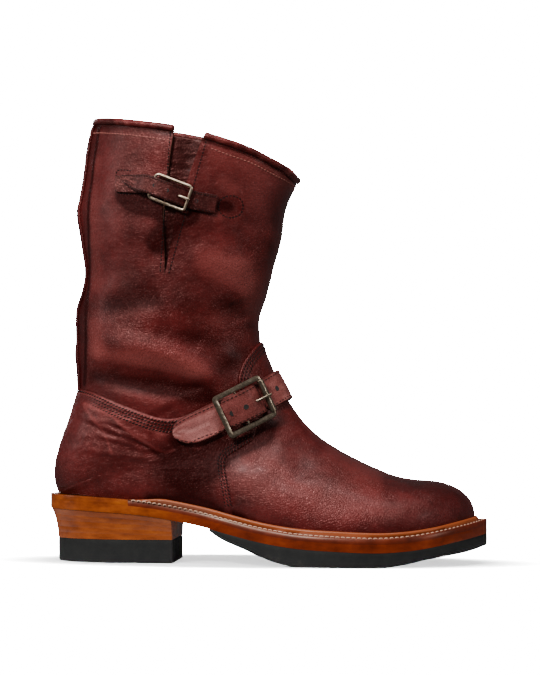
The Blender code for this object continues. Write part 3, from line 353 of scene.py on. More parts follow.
def skin_normal(row, v):
    row, v = np.broadcast_arrays(np.asarray(row, float), np.asarray(v, float))
    step, reach = 0.02, 0.2
    base = np.minimum(row, TOE_ROW - 0.5)
    down = surface(np.minimum(base + reach, TOE_ROW), v) - surface(np.maximum(base - reach, 0.0), v)
    ring = row <= HEEL_ROW
    high = np.where((v + step <= 1) | ring, v + step, v)
    low = np.where((v - step >= -1) | ring, v - step, v)
    return unit(np.cross(down, surface(base, high) - surface(base, low)))


def spot(along, level, side):
    """Rows and v of places given as they are seen from the side. side is -1 outer, 1 inner."""
    x = x_at(along)
    z = height(x, np.asarray(level, float))

    def ahead(row):
        front_x, front_z, back_x, back_z = sections(row)[:4]
        return (back_x - front_x) * (z - front_z) - (back_z - front_z) * (x - front_x)

    row = solve(ahead, np.zeros_like(z), np.full_like(z, TOE_ROW - 0.01))
    values = sections(row)
    front_x, front_z, back_x, back_z = values[:4]
    run = (back_x - front_x) ** 2 + (back_z - front_z) ** 2
    share = ((x - front_x) * (back_x - front_x) + (z - front_z) * (back_z - front_z)) / run
    end = np.where(np.asarray(side) > 0, values[10], values[9])
    turn = 1 - np.clip(share, 0.0, 1.0) * (1 - np.cos(end))
    return row, side * np.arccos(np.clip(turn, -1.0, 1.0)) / end


def collar_row(v, drop):
    """Rows where the collar line, lowered square to itself, crosses the columns v."""
    v = np.asarray(v, float)
    step = FOOT_LENGTH * 0.01

    def above(row):
        point = surface(row, v)
        line, ahead = (height(x, collar_level(x_along(x))) for x in (point[..., 0], point[..., 0] + step))
        return point[..., 2] - line + drop * np.hypot(1.0, (ahead - line) / step)
    return solve(above, np.zeros_like(v), np.full_like(v, 4.5))


def hashed(cell, seed):
    """Even random numbers from 0 to 1 for whole-number cells, the same on every run."""
    n = cell[..., 0] * 374761393 + cell[..., 1] * 668265263 + cell[..., 2] * 2147483647 + seed * 1274126177
    n = (n ^ (n >> 13)) * 1274126177
    n = n ^ (n >> 16)
    return (n & 0xFFFFFF) / float(0xFFFFFF)


def noise(points, scale, seed=0):
    """Smooth noise from -1 to 1 at points, with cells of about the given size."""
    place = np.asarray(points) / np.asarray(scale) + 100.0
    cell = np.floor(place).astype(np.int64)
    t = place - cell
    t = t * t * (3 - 2 * t)
    total = 0.0
    for i in (0, 1):
        for j in (0, 1):
            for k in (0, 1):
                weight = (
                    (t[..., 0] if i else 1 - t[..., 0]) * (t[..., 1] if j else 1 - t[..., 1])
                    * (t[..., 2] if k else 1 - t[..., 2]))
                total = total + weight * hashed(cell + np.array((i, j, k)), seed)
    return 2 * total - 1


def smooth(low, high, value):
    """Share from 0 at low to 1 at high, with an even start and end."""
    t = np.clip((value - low) / (high - low), 0.0, 1.0)
    return t * t * (3 - 2 * t)


def line_distance(x, z, line):
    """Distance in the side view to a line of points, and the share along it of the nearest place."""
    best = np.full(x.shape, 1.0)
    share = np.zeros(x.shape)
    count = len(line) - 1
    for i, ((x0, z0), (x1, z1)) in enumerate(zip(line, line[1:])):
        run = (x1 - x0) ** 2 + (z1 - z0) ** 2
        t = np.clip(((x - x0) * (x1 - x0) + (z - z0) * (z1 - z0)) / run, 0.0, 1.0)
        distance = np.hypot(x - x0 - (x1 - x0) * t, z - z0 - (z1 - z0) * t)
        share = np.where(distance < best, (i + t) / count, share)
        best = np.minimum(best, distance)
    return best, share


def side_line(places, steps=8):
    """Smooth line in the side view, as x and z, through places given as along and level."""
    along_level = row_values(places, np.linspace(0, len(places) - 1, steps * (len(places) - 1) + 1))
    x = x_at(along_level[:, 0])
    return np.stack((x, height(x, along_level[:, 1])), axis=-1)


COUNTER_TOP_LINE = side_line(COUNTER_TOP, 6)
STRAP_LINES = (
    (side_line(((0.165, 1.735), (0.258, 1.725), (0.346, 1.670), (0.402, 1.650)), 3), 0.009),
    (side_line(((0.300, 0.550), (0.390, 0.720), (0.500, 0.850), (0.540, 0.900)), 3), 0.014),
)
COLLAR_GROOVE = 0.0056         # depth of the stitched groove below the collar line
FOLD_LINES = [(depth, width, side_line(places, 3)) for depth, width, places in FOLDS]


def relief(points):
    """Folds, waves and crinkles of the worn leather, as a height above the plain skin."""
    x, y, z = np.moveaxis(points, -1, 0)
    along, level = x_along(x), level_at(x, z)
    outer = smooth(0.012, -0.012, y)
    total = np.zeros(x.shape)
    for depth, width, line in FOLD_LINES:
        for line_x, line_z, half in ((x, z, outer), (x + 0.02, z + 0.013, 1 - outer)):
            distance, share = line_distance(line_x, line_z, line)
            ends = smooth(0.0, 0.25, share) * smooth(1.0, 0.75, share)
            total = total + depth * half * np.exp(-((distance / width) ** 2)) * (0.25 + 0.75 * ends)
    shaft = smooth(0.80, 0.98, level)
    wave = noise(points, (0.050, 0.050, 0.022), 3) * 0.0009 + noise(points, (0.022, 0.03, 0.011), 4) * 0.0004
    total = total + wave * shaft * smooth(1.99, 1.85, level)
    heel = smooth(0.42, 0.30, along) * smooth(0.80, 0.66, level) * smooth(0.12, 0.30, level)
    warp = points + 0.004 * np.stack([noise(points, 0.013, seed) for seed in (5, 6, 7)], -1)
    ridges = 1 - np.abs(noise(warp, (0.013, 0.013, 0.0042), 8))
    fine = 1 - np.abs(noise(warp, (0.006, 0.006, 0.0026), 9))
    total = total + heel * (0.00034 * (ridges - 0.6) + 0.00018 * (fine - 0.6))
    vamp = smooth(0.44, 0.56, along) * smooth(0.95, 0.75, level)
    toe = smooth(0.80, 0.68, along)
    total = total + vamp * toe * (0.0004 * noise(points, (0.016, 0.03, 0.016), 11)
                                  + 0.00012 * noise(points, (0.006, 0.010, 0.006), 12))
    for line, reach in STRAP_LINES:
        distance, _ = line_distance(x, z, line)
        total = total * (1 - 0.9 * smooth(reach + 0.008, reach, distance) * outer)
    sunk = (np.interp(x, *COUNTER_TOP_LINE.T) - z) * 0.94
    band = smooth(0.0006, 0.0012, sunk) * smooth(0.0102, 0.0092, sunk) * smooth(0.478, 0.465, along)
    total = total + band * (0.00016 * np.cos(2 * math.pi * sunk / 0.0022) - 0.00014)
    below = height(x, collar_level(along)) - z
    total = total - 0.0007 * np.exp(-(((below - COLLAR_GROOVE) / 0.0010) ** 2))
    return total + 0.00008 * noise(points, 0.0035, 13)


# Painted shade and painted highlights on the leather: amount, width in metres, then places as along and
# level. A negative amount is painted shade, as under the straps and along fold hollows; a positive one is a
# painted highlight, as on the vamp, the shaft and the counter's crinkles.
SHADES = (
    (-0.80, 0.0100, ((0.300, 0.430), (0.325, 0.350), (0.350, 0.335), (0.377, 0.334), (0.395, 0.440))),
    (-0.60, 0.0055, ((0.413, 0.461), (0.473, 0.522), (0.505, 0.594), (0.525, 0.660))),
    (-0.35, 0.0070, ((0.354, 0.858), (0.413, 1.001), (0.463, 1.078))),
    (-1.50, 0.0056, ((0.182, 1.695), (0.217, 1.663), (0.256, 1.640), (0.298, 1.617), (0.340, 1.609))),
    (-0.90, 0.0065, ((0.312, 1.601), (0.289, 1.555), (0.265, 1.502))),
    (-0.20, 0.0045, ((0.383, 1.893), (0.364, 1.778), (0.355, 1.701))),
    (-0.15, 0.0080, ((0.358, 1.578), (0.399, 1.541), (0.440, 1.565))),
    (-0.22, 0.0130, ((0.196, 1.560), (0.206, 1.460), (0.218, 1.390))),
    (-0.80, 0.0045, ((0.415, 1.641), (0.422, 1.641), (0.428, 1.641))),
    (-0.38, 0.0080, ((0.080, 1.262), (0.150, 1.260), (0.249, 1.267), (0.423, 1.276), (0.450, 1.270))),
    (-0.30, 0.0085, ((0.156, 1.105), (0.272, 1.144), (0.378, 1.132), (0.426, 1.078))),
    (-0.48, 0.0070, ((0.100, 0.965), (0.160, 0.925), (0.246, 0.872), (0.381, 0.832))),
    (0.30, 0.0060, ((0.119, 1.082), (0.224, 1.044), (0.322, 1.001), (0.400, 0.960))),
    (0.35, 0.0090, ((0.456, 1.427), (0.476, 1.339), (0.474, 1.265))),
    (0.22, 0.0120, ((0.397, 1.855), (0.472, 1.819), (0.536, 1.739))),
    (0.20, 0.0100, ((0.498, 1.667), (0.505, 1.572), (0.480, 1.500))),
    (0.22, 0.0080, ((0.100, 1.825), (0.098, 1.591), (0.105, 1.280), (0.103, 1.086))),
    (0.14, 0.0060, ((0.102, 0.728), (0.198, 0.642), (0.292, 0.560))),
    (0.42, 0.0015, ((0.151, 0.653), (0.183, 0.554), (0.231, 0.461), (0.272, 0.396), (0.301, 0.420))),
    (0.34, 0.0014, ((0.080, 0.740), (0.151, 0.664), (0.215, 0.600), (0.278, 0.530))),
    (0.22, 0.0012, ((0.081, 0.709), (0.114, 0.585), (0.135, 0.492), (0.149, 0.367))),
    (-0.45, 0.0016, ((0.151, 0.628), (0.183, 0.529), (0.231, 0.436), (0.272, 0.371))),
    (-0.20, 0.0100, ((0.180, 1.880), (0.230, 1.875), (0.280, 1.870))),
    (0.15, 0.0100, ((0.400, 1.550), (0.420, 1.400), (0.400, 1.280), (0.400, 1.200))),
    (0.35, 0.0035, ((0.262, 0.520), (0.279, 0.470), (0.292, 0.440))),
    (-0.80, 0.0011, ((0.111, 1.955), (0.098, 1.817), (0.087, 1.677), (0.085, 1.468), (0.081, 1.304),
                     (0.078, 1.117), (0.073, 0.902))),
    (-0.22, 0.0036, ((0.098, 1.955), (0.085, 1.817), (0.074, 1.677), (0.072, 1.468), (0.068, 1.304),
                     (0.065, 1.117), (0.060, 0.902))),
    (-0.30, 0.0080, ((0.202, 1.644), (0.275, 1.655))),
    (-0.25, 0.0090, ((0.202, 1.548), (0.286, 1.517))),
    (-0.30, 0.0060, ((0.439, 1.472), (0.478, 1.474))),
    (-0.50, 0.0070, ((0.339, 0.324), (0.409, 0.425), (0.466, 0.513), (0.512, 0.570))),
    (-0.20, 0.0100, ((0.316, 0.219), (0.398, 0.317))),
    (0.22, 0.0050, ((0.419, 1.733), (0.430, 1.722), (0.441, 1.710))),
    (0.28, 0.0045, ((0.413, 1.606), (0.430, 1.601), (0.447, 1.596))),
    (0.28, 0.0070, ((0.378, 1.425), (0.423, 1.395), (0.455, 1.350))),
    (0.20, 0.0060, ((0.464, 1.280), (0.468, 1.257), (0.473, 1.234))),
    (0.18, 0.0080, ((0.663, 0.477), (0.735, 0.388), (0.820, 0.296))),
    (-0.70, 0.0045, ((0.242, 0.023), (0.338, 0.037), (0.458, 0.031))),
    (-0.35, 0.0100, ((0.268, 0.258), (0.327, 0.135), (0.374, 0.090))),
    (0.14, 0.0085, ((0.473, 0.273), (0.520, 0.210), (0.569, 0.157), (0.692, 0.140), (0.780, 0.170))),
    (0.06, 0.0100, ((0.598, 0.385), (0.693, 0.331), (0.769, 0.263))),
    (-0.35, 0.0090, ((0.821, 0.330), (0.899, 0.310), (0.976, 0.206))),
    (-0.35, 0.0050, ((0.560, -0.020), (0.700, -0.080), (0.840, -0.030))),
)
SHADE_LINES = [(amount, width, side_line(places, 3)) for amount, width, places in SHADES]


def shade(points):
    """Painted shade and painted highlight at points, beyond what the folds paint: the lines of SHADES, and
    painted shade in the stitched groove below the collar.
    """
    x, y, z = np.moveaxis(points, -1, 0)
    outer = smooth(0.010, -0.010, y)
    total = np.zeros(x.shape)
    for amount, width, line in SHADE_LINES:
        distance, _ = line_distance(x, z, line)
        total = total + amount * outer * np.exp(-((distance / width) ** 2))
    # Painted shade in the stitched groove below the collar line.
    below = height(x, collar_level(x_along(x))) - z
    total = total - 0.7 * np.exp(-(((below - COLLAR_GROOVE) / 0.0013) ** 2))
    return total


def mesh_piece(name, points, faces, material, tone_and_painted_light=None, weld=True, smooth_angle=50):
    """Mesh object of one body, with a value from 0 to 1 at each point that its material reads as tone, worn
    places and painted light or shade.
    """
    mesh = bpy.data.meshes.new(name)
    mesh.from_pydata(np.asarray(points).reshape(-1, 3).tolist(), [], [list(face) for face in faces])
    layer = mesh.attributes.new("tone_and_painted_light", "FLOAT", "POINT")
    values = np.zeros(len(mesh.vertices)) if tone_and_painted_light is None else np.asarray(tone_and_painted_light, float).reshape(-1)
    layer.data.foreach_set("value", values)
    if weld:
        bm = bmesh.new()
        bm.from_mesh(mesh)
        bmesh.ops.remove_doubles(bm, verts=bm.verts, dist=5e-6)
        bmesh.ops.recalc_face_normals(bm, faces=bm.faces)
        bm.to_mesh(mesh)
        bm.free()
    mesh.materials.append(material)
    mesh.shade_smooth()
    mesh.set_sharp_from_angle(angle=math.radians(smooth_angle))
    thing = bpy.data.objects.new(name, mesh)
    bpy.context.scene.collection.objects.link(thing)
    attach(thing, "root")
    return thing


def grid_faces(rows, columns, wrap=False, start=0):
    index = np.arange(rows * columns).reshape(rows, columns) + start
    if wrap:
        index = np.concatenate((index, index[:, :1]), axis=1)
    a, b, c, d = index[:-1, :-1], index[1:, :-1], index[1:, 1:], index[:-1, 1:]
    return np.stack((a, b, c, d), axis=-1).reshape(-1, 4)


def grid_piece(name, points, material, tone_and_painted_light=None, wrap=False, caps=False, **options):
    """Mesh through a grid of points. wrap joins the last column to the first, caps close the ends."""
    rows, columns = points.shape[:2]
    faces = grid_faces(rows, columns, wrap).tolist()
    if caps:
        faces.append(list(range(columns)))
        faces.append(list(reversed(range((rows - 1) * columns, rows * columns))))
    return mesh_piece(name, points, faces, material, tone_and_painted_light, **options)


def joined(name, grids, material, tones_and_painted_light=None, wrap=False, **options):
    """One mesh from several grids of points."""
    points, faces, tone_and_painted_light, start = [], [], [], 0
    for number, grid in enumerate(grids):
        rows, columns = grid.shape[:2]
        faces.append(grid_faces(rows, columns, wrap, start))
        points.append(grid.reshape(-1, 3))
        tone_and_painted_light.append(np.zeros(rows * columns) if tones_and_painted_light is None else tones_and_painted_light[number].reshape(-1))
        start += rows * columns
    return mesh_piece(name, np.concatenate(points), np.concatenate(faces).tolist(), material,
                      np.concatenate(tone_and_painted_light), **options)


def softened(points, reach):
    """Grid of points evened out along its first axis over a number of cells, its ends kept."""
    for _ in range(3):
        first, last = points[:1], points[-1:]
        padded = np.concatenate((2 * first - points[reach:0:-1], points,
                                 2 * last - points[-2:-reach - 2:-1]))
        total = np.cumsum(np.concatenate((np.zeros_like(first), padded)), axis=0)
        points = (total[2 * reach + 1:] - total[:-2 * reach - 1]) / (2 * reach + 1)
    return points


def worn_skin(row, v, lift, soften=0):
    """Points above the skin with its folds, and a value for each place that paints shade in the fold troughs
    and highlight on the fold ridges, with the painted shade and highlights of shade() added.
    """
    base = surface(row, v)
    if soften:
        base = softened(base, soften)
    fold = relief(base)
    points = base + skin_normal(row, v) * (lift + fold)[..., None]
    # Painted shade in fold troughs and painted highlight on fold ridges, plus the painted light of shade().
    return points, np.clip(0.5 + fold / 0.007 + shade(base), 0.0, 1.0)


# Turned edge of a panel: distance from it in metres, and share of the panel's rise
EDGE_RISE = ((0.0, 0.0), (0.0, 0.55), (0.00012, 0.82), (0.0004, 0.96), (0.0009, 1.0))


def edge_steps(count, length, both=False):
    """Shares along a line that starts, and ends if both, with a turned edge, and the rise of each."""
    near = [(distance / length, rise) for distance, rise in EDGE_RISE]
    last = near[-1][0]
    end = 1 - last if both else 1.0
    middle = [(last + (end - last) * (step + 1) / count, 1.0) for step in range(count)]
    if both:
        middle = middle[:-1] + [(1 - share, rise) for share, rise in reversed(near)]
    return zip(*(near + middle))


def edge_row(spots, v):
    """Rows of an edge at columns v, in straight steps between its spots of row and v."""
    rows, places = spots
    order = np.argsort(np.abs(places))
    return np.interp(np.abs(v), np.abs(places)[order], rows[order])


def spots_along(line, steps=8):
    along, level = row_values(line, np.linspace(0, len(line) - 1, steps * (len(line) - 1) + 1)).T
    row, v = spot(along, level, -1)
    return np.array(row), np.array(v)


def seam_spots():
    row, v = spots_along(COUNTER_FRONT)
    v[-1] = -1.0
    tongue_row, tongue_v = spots_along(TONGUE_LINE)
    tongue_v[0] = 0.0
    return (row, v), (tongue_row, tongue_v)


def sheet_under_edge(rows, vs, rise, low_lift, soften=0):
    """Points of a panel whose edge rises from the leather below it, and its painted-light values, with
    painted shade at the foot of the turned edge and a paler band along the edge.
    """
    lift = low_lift + (PANEL_TOP - low_lift) * rise
    points, tone_and_painted_light = worn_skin(rows, vs, lift, soften)
    # Painted shade at the foot of the turned edge, where it meets the leather below; a paler band along the
    # edge itself.
    edge = np.where(rise < 0.3, -0.5, np.where(rise < 0.99, 0.22, 0.0))
    return points, np.clip(tone_and_painted_light + edge, 0.0, 1.0)


def make_shaft(material, lining):
    """Shaft with its slit, and the lining inside the whole boot."""
    columns = np.linspace(0.0, 1.0, 361)
    steps = np.linspace(0.0, 1.0, 211)
    tip_row = float(spot(*SLIT_TIP, -1)[0])
    tip_v = float(spot(*SLIT_TIP, -1)[1])

    def slit_v(place, row):
        top_row, top_v = (float(value) for value in spot(*place, -1))
        return tip_v + (top_v - tip_v) * np.clip((tip_row - row) / (tip_row - top_row), 0.0, 1.2)

    def columns_at(row):
        start, end = slit_v(SLIT_TOP_FRONT, row), slit_v(SLIT_TOP_BACK, row) + 2
        return start + (end - start) * columns

    def ring_rows(drop, last):
        guess = np.full((1, len(columns)), 0.3)
        for _ in range(3):
            top = collar_row(wrapped(columns_at(guess)), drop)
            guess = top
        return guess + (last - guess) * steps[:, None]

    def wrapped(v):
        return np.where(v > 1, v - 2, v)

    rows = ring_rows(BINDING_RADIUS * 1.2, HEEL_ROW)
    vs = np.stack([columns_at(rows[i, :]) for i in range(len(steps))])
    points, tone_and_painted_light = worn_skin(rows, wrapped(vs), np.zeros(rows.shape))
    shaft = grid_piece("shaft_leather", points, material, tone_and_painted_light)
    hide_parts("upper")
    rows, vs = rows[::3, ::3], vs[::3, ::3]
    points, tone_and_painted_light = worn_skin(rows, wrapped(vs), np.full(rows.shape, -UPPER_WALL))
    inside = grid_piece("shaft_lining", points, lining, tone_and_painted_light)
    v = np.linspace(-1.0, 1.0, 121)
    rows = np.linspace(HEEL_ROW - 1, TOE_ROW, 81)[:, None] + 0 * v
    points, tone_and_painted_light = worn_skin(rows, v + 0 * rows, np.full(rows.shape, -UPPER_WALL - 0.0001))
    inside = grid_piece("foot_lining", points, lining, tone_and_painted_light)


VAMP_ROWS_PER_METRE = 170       # rows of the sections in a metre of leather, near the vamp's edge


def make_vamp(material):
    seam, tongue = seam_spots()
    edge = (np.concatenate((tongue[0], seam[0] - SEAM_OVERLAP)), np.concatenate((tongue[1], seam[1])))
    v = np.linspace(-1.0, 1.0, 441)
    first = edge_row(edge, v)
    near = np.array([distance for distance, _ in EDGE_RISE]) * VAMP_ROWS_PER_METRE
    even = np.concatenate((np.linspace(8, 16, 90), np.linspace(16, TOE_ROW, 200)[1:]))
    rows = np.concatenate((first[None, :] + near[:, None],
                           np.maximum(even[:, None], first[None, :] + near[-1] + 0.02)))
    rise = np.array([high for _, high in EDGE_RISE] + [1.0] * len(even))
    under = smooth(-0.06, 0.02, np.abs(v) - np.abs(seam[1][0]))[None, :]
    below = PANEL_TOP - SEAM_STEP * (1 - smooth(0.3, 1.6, rows - first[None, :]))
    lift = (0.0001 + (PANEL_TOP - 0.0001) * rise[:, None]) * (1 - under) + below * under
    points, tone_and_painted_light = worn_skin(rows, np.broadcast_to(v, rows.shape), lift)
    vamp = grid_piece("vamp_leather", points, material, tone_and_painted_light)
    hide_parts("vamp")


def make_counter(material):
    top_row, top_v = spots_along(COUNTER_TOP)
    top_v[0] = -1.0
    seam = seam_spots()[0]
    first = float(np.abs(seam[1][0]))
    v = np.linspace(first, 1.0, 221)
    low = edge_row((top_row, top_v), v)
    high = np.maximum(edge_row(seam, v), low + 0.01)
    share, rise = (np.array(part) for part in edge_steps(130, 0.07, both=True))
    rows = low[None, :] + (high - low)[None, :] * share[:, None]
    rise = np.broadcast_to(rise[:, None], rows.shape)
    halves = [sheet_under_edge(rows, side * np.broadcast_to(v, rows.shape), rise, 0.0001, 9)
              for side in (-1, 1)]
    counter = joined("counter_leather", [half[0] for half in halves], material,
                     [half[1] for half in halves])
    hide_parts("counter")


BACK_STRIP_HALF = 0.090         # half the width of the back strip, in v


def make_backstay(material):
    share, rise = (np.array(part) for part in edge_steps(12, 0.024, both=True))
    v = 1 - BACK_STRIP_HALF + 2 * BACK_STRIP_HALF * share
    top = float(collar_row(1.0, BINDING_RADIUS * 1.6))
    low = float(spot(*COUNTER_TOP[0], -1)[0]) + 0.1
    rows = np.linspace(top, low, 170)[:, None] + 0 * v
    rise = np.broadcast_to(rise, rows.shape)
    points, tone_and_painted_light = sheet_under_edge(rows, v + 0 * rows, rise, -0.0001)
    strip = grid_piece("back_strip", points, material, np.clip(tone_and_painted_light - 0.3, 0, 1))
    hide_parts("backstay")


def tube_points(path, radius, sides, normals):
    """Rings of points around a path. radius may be an array along the path."""
    path = np.asarray(path, float)
    tangent = unit(np.gradient(path, axis=0))
    across = unit(np.cross(tangent, normals))
    up = np.cross(across, tangent)
    angle = np.linspace(0, 2 * math.pi, sides, endpoint=False)[None, :, None]
    radius = np.broadcast_to(radius, len(path))[:, None, None]
    return path[:, None, :] + (across[:, None, :] * np.cos(angle) + up[:, None, :] * np.sin(angle)) * radius


def make_binding(material):
    back = float(spot(*SLIT_TOP_BACK, -1)[1])
    front = float(spot(*SLIT_TOP_FRONT, -1)[1])
    v = np.linspace(front, 2 + back, 420)
    v = np.where(v > 1, v - 2, v)
    row = collar_row(v, BINDING_RADIUS)
    base = surface(row, v)
    normal = skin_normal(row, v)
    path = base + normal * (relief(base) - UPPER_WALL / 2 + 0.0005)[:, None]
    path = softened(path, 4)
    radius = BINDING_RADIUS * (1.12 + 0.05 * noise(path, 0.006, 21))
    radius[[0, -1]] *= 0.5
    rings = tube_points(path, radius, 16, np.tile((0.0, 0.0, 1.0), (len(path), 1)))
    # Painted highlight: the roll is painted paler towards its top, over a random tone.
    top = np.clip((rings[..., 2] - path[:, None, 2]) / BINDING_RADIUS, 0, 1)
    tone_and_painted_light = 0.5 + 0.35 * noise(rings, 0.004, 22) + 0.25 * top
    roll = grid_piece("collar_roll", rings, material, np.clip(tone_and_painted_light, 0, 1), wrap=True, caps=True)
    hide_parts("collar_binding")


GUSSET_FOLD = 0.002
GUSSET_OVERLAP = 0.014
GUSSET_TOP_DROP = 0.045
GUSSET_THICKNESS = 0.0013


def make_gusset(material):
    across, down = np.meshgrid(np.linspace(0, 1, 81), np.linspace(0, 1, 141))
    back, front, tip = SLIT_TOP_BACK, SLIT_TOP_FRONT, SLIT_TIP
    left = back[0] + (tip[0] - back[0]) * down - GUSSET_OVERLAP
    right = front[0] + (tip[0] - front[0]) * down + GUSSET_OVERLAP
    level = back[1] + (front[1] - back[1]) * across
    top = level - GUSSET_TOP_DROP
    level = top + (tip[1] - GUSSET_OVERLAP - top) * down
    row, v = spot(left + (right - left) * across, level, -1)
    fold = GUSSET_FOLD * (1 - down) * np.sin(math.pi * across) ** 2
    base = surface(row, v)
    creases = (noise(base, (0.012, 0.012, 0.0014), 31) * 0.00016
               + noise(base, (0.008, 0.008, 0.0009), 32) * 0.00012)
    lift = -(UPPER_WALL + 2 * PANEL_GAP + fold) + creases * (0.3 + np.sin(math.pi * across))
    points = base + skin_normal(row, v) * (lift + relief(base))[..., None]
    # Painted shade and highlight along the creases, and painted darker towards the bottom of the slit.
    tone_and_painted_light = np.clip(0.32 + creases / 0.0012 - 0.25 * down, 0, 1)
    fold_piece = grid_piece("gusset_leather", points, material, tone_and_painted_light)
    solid = fold_piece.modifiers.new("Thickness", "SOLIDIFY")
    solid.thickness = GUSSET_THICKNESS
    solid.offset = 0.0
    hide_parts("gusset")


# Sole: stations run from the heel end to the toe end of the bottom edge


def edge_point(row, side, out):
    """Plan points of the bottom edge at rows, moved out square to the edge."""
    row = np.asarray(row, float)

    def base(place):
        return surface(np.clip(place, HEEL_ROW + 1e-6, TOE_ROW), float(side))[..., :2]
    run = base(row + 0.15) - base(row - 0.15)
    normal = unit(np.stack((-run[..., 1], run[..., 0]), axis=-1) * side)
    normal = np.where((row <= HEEL_ROW)[..., None], (-1.0, 0.0), normal)
    normal = np.where((row >= TOE_ROW)[..., None], (1.0, 0.0), normal)
    return base(row) + normal * np.asarray(out)[..., None]


def margin(row):
    return BALL_WIDTH * margin_share(x_along(sections(row)[2]))


def insole_top(x):
    return seat(x) - GAP


def welt_top(x):
    return seat(x) - WELT_DROP


def welt_bottom(x):
    return welt_top(x) - WELT_THICKNESS


def midsole_top(x):
    return welt_bottom(x) - GAP


def midsole_bottom(x):
    return midsole_top(x) - MIDSOLE_THICKNESS


def tread(x):
    return np.maximum(SEAT_AT_BALL * tread_share(x_along(x)), 0.0)


# Edge of a sole layer from top to bottom: share of its height, and how far it stands out in metres
EDGE_PROFILE = ((0.0, -0.0012), (0.0, -0.0004), (0.07, -0.0001), (0.25, 0.0), (0.5, 0.0), (0.75, 0.0),
                (0.93, -0.0001), (1.0, -0.0004), (1.0, -0.0012))


def slab(name, rows, out_top, out_bottom, top, bottom, material, slot, wobble=0.0, soft=1.0):
    """Layer of the sole. Its edge is slightly uneven, by wobble, and rounded by a share, soft."""
    shares = np.array([share for share, _ in EDGE_PROFILE])
    stands = np.array([stand for _, stand in EDGE_PROFILE]) * soft
    columns = []
    for side in (-1, 1):
        line = []
        for share, stand in zip(shares, stands):
            base = edge_point(rows, side, out_top(rows) * (1 - share) + out_bottom(rows) * share)
            level = top(base[:, 0]) * (1 - share) + bottom(base[:, 0]) * share
            point = np.column_stack((base, level))
            uneven = wobble * noise(point, (0.02, 0.02, 0.002), 41) + stand
            inward = edge_point(rows, side, out_top(rows) * (1 - share) + out_bottom(rows) * share + uneven)
            line.append(np.column_stack((inward, level)))
        columns.append(line)
    ring = np.stack(columns[0] + columns[1][::-1], axis=1)
    layer = grid_piece(name, ring, material, wrap=True, caps=True, smooth_angle=60)
    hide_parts(slot[0])
    return layer


SOLE_ROWS = np.concatenate((HEEL_ROW + np.array((0.0, 0.03, 0.07, 0.13, 0.2, 0.3, 0.4, 0.5, 0.65, 0.8)),
                            np.arange(HEEL_ROW + 1, TOE_ROW - 1 + 1e-6, 0.125),
                            TOE_ROW - np.array((0.8, 0.65, 0.5, 0.4, 0.3, 0.2, 0.13, 0.07, 0.03, 0.0))))
BREAST_X = float(x_at(0.290))
SKIVE_X = float(x_at(0.386))


def row_at(x):
    return float(solve(lambda row: x - sections(row)[2], HEEL_ROW, TOE_ROW))


def make_sole(leather, edge_leather, rubber):
    slab("insole_board", SOLE_ROWS, lambda row: -GAP + 0 * row, lambda row: -GAP + 0 * row, insole_top,
         lambda x: insole_top(x) - 0.0038, leather, ("insole", "lining_leather"))
    slab("midsole_edge", SOLE_ROWS, margin, margin, welt_bottom, midsole_bottom, edge_leather,
         ("midsole", "sole_leather"), 0.00012, 0.12)
    first = row_at(SKIVE_X)
    rows = np.concatenate(([first], SOLE_ROWS[SOLE_ROWS > first + 0.03]))
    slab("rubber_sole", rows, margin, margin, midsole_bottom, tread, rubber,
         ("outsole", "black_rubber"), 0.0001, 0.6)


def make_heel(leather, edge_leather, rubber):
    last = row_at(BREAST_X)
    rows = np.concatenate((SOLE_ROWS[SOLE_ROWS < last - 0.03], [last]))

    def out_at(z):
        share = min(z / HEEL_FLARE_TOP, 1.0)
        return lambda row: margin(row) - HEEL_TAPER * (1 - share**HEEL_FLARE_POWER)

    def boundary(number, shift):
        share = number / HEEL_LIFTS
        low = TOP_LIFT_HEIGHT + GAP / 2
        return lambda x: low + share * (midsole_bottom(x) - GAP / 2 - low) + shift

    slab("heel_rubber", rows, out_at(TOP_LIFT_HEIGHT), out_at(0.0), lambda x: TOP_LIFT_HEIGHT + 0 * x,
         lambda x: 0 * x, rubber, ("heel_top_lift", "black_rubber"), 0.0001)
    for number in range(HEEL_LIFTS):
        low, high = boundary(number, 0.0), boundary(number + 1, 0.0)
        slab(f"heel_layer_{number + 1}", rows, out_at(float(high(HEEL_X))), out_at(float(low(HEEL_X))),
             high, low, leather, (f"heel_lift_{number + 1}", "heel_leather"), 0.0001, 0.10)
    rows = SOLE_ROWS[(SOLE_ROWS < WELT_START_ROW + 0.01)]
    slab("heel_seat_band", rows, margin, margin, welt_top, welt_bottom, edge_leather,
         ("heel_rand", "sole_leather"), 0.00012, 0.2)


# Section of the rib from its crest outward: shares of its width, and drop in metres
RIB_SECTION = ((0.0, 0.0), (0.15, -0.0003), (0.42, -0.00035), (0.66, 0.0001), (0.82, 0.0009))


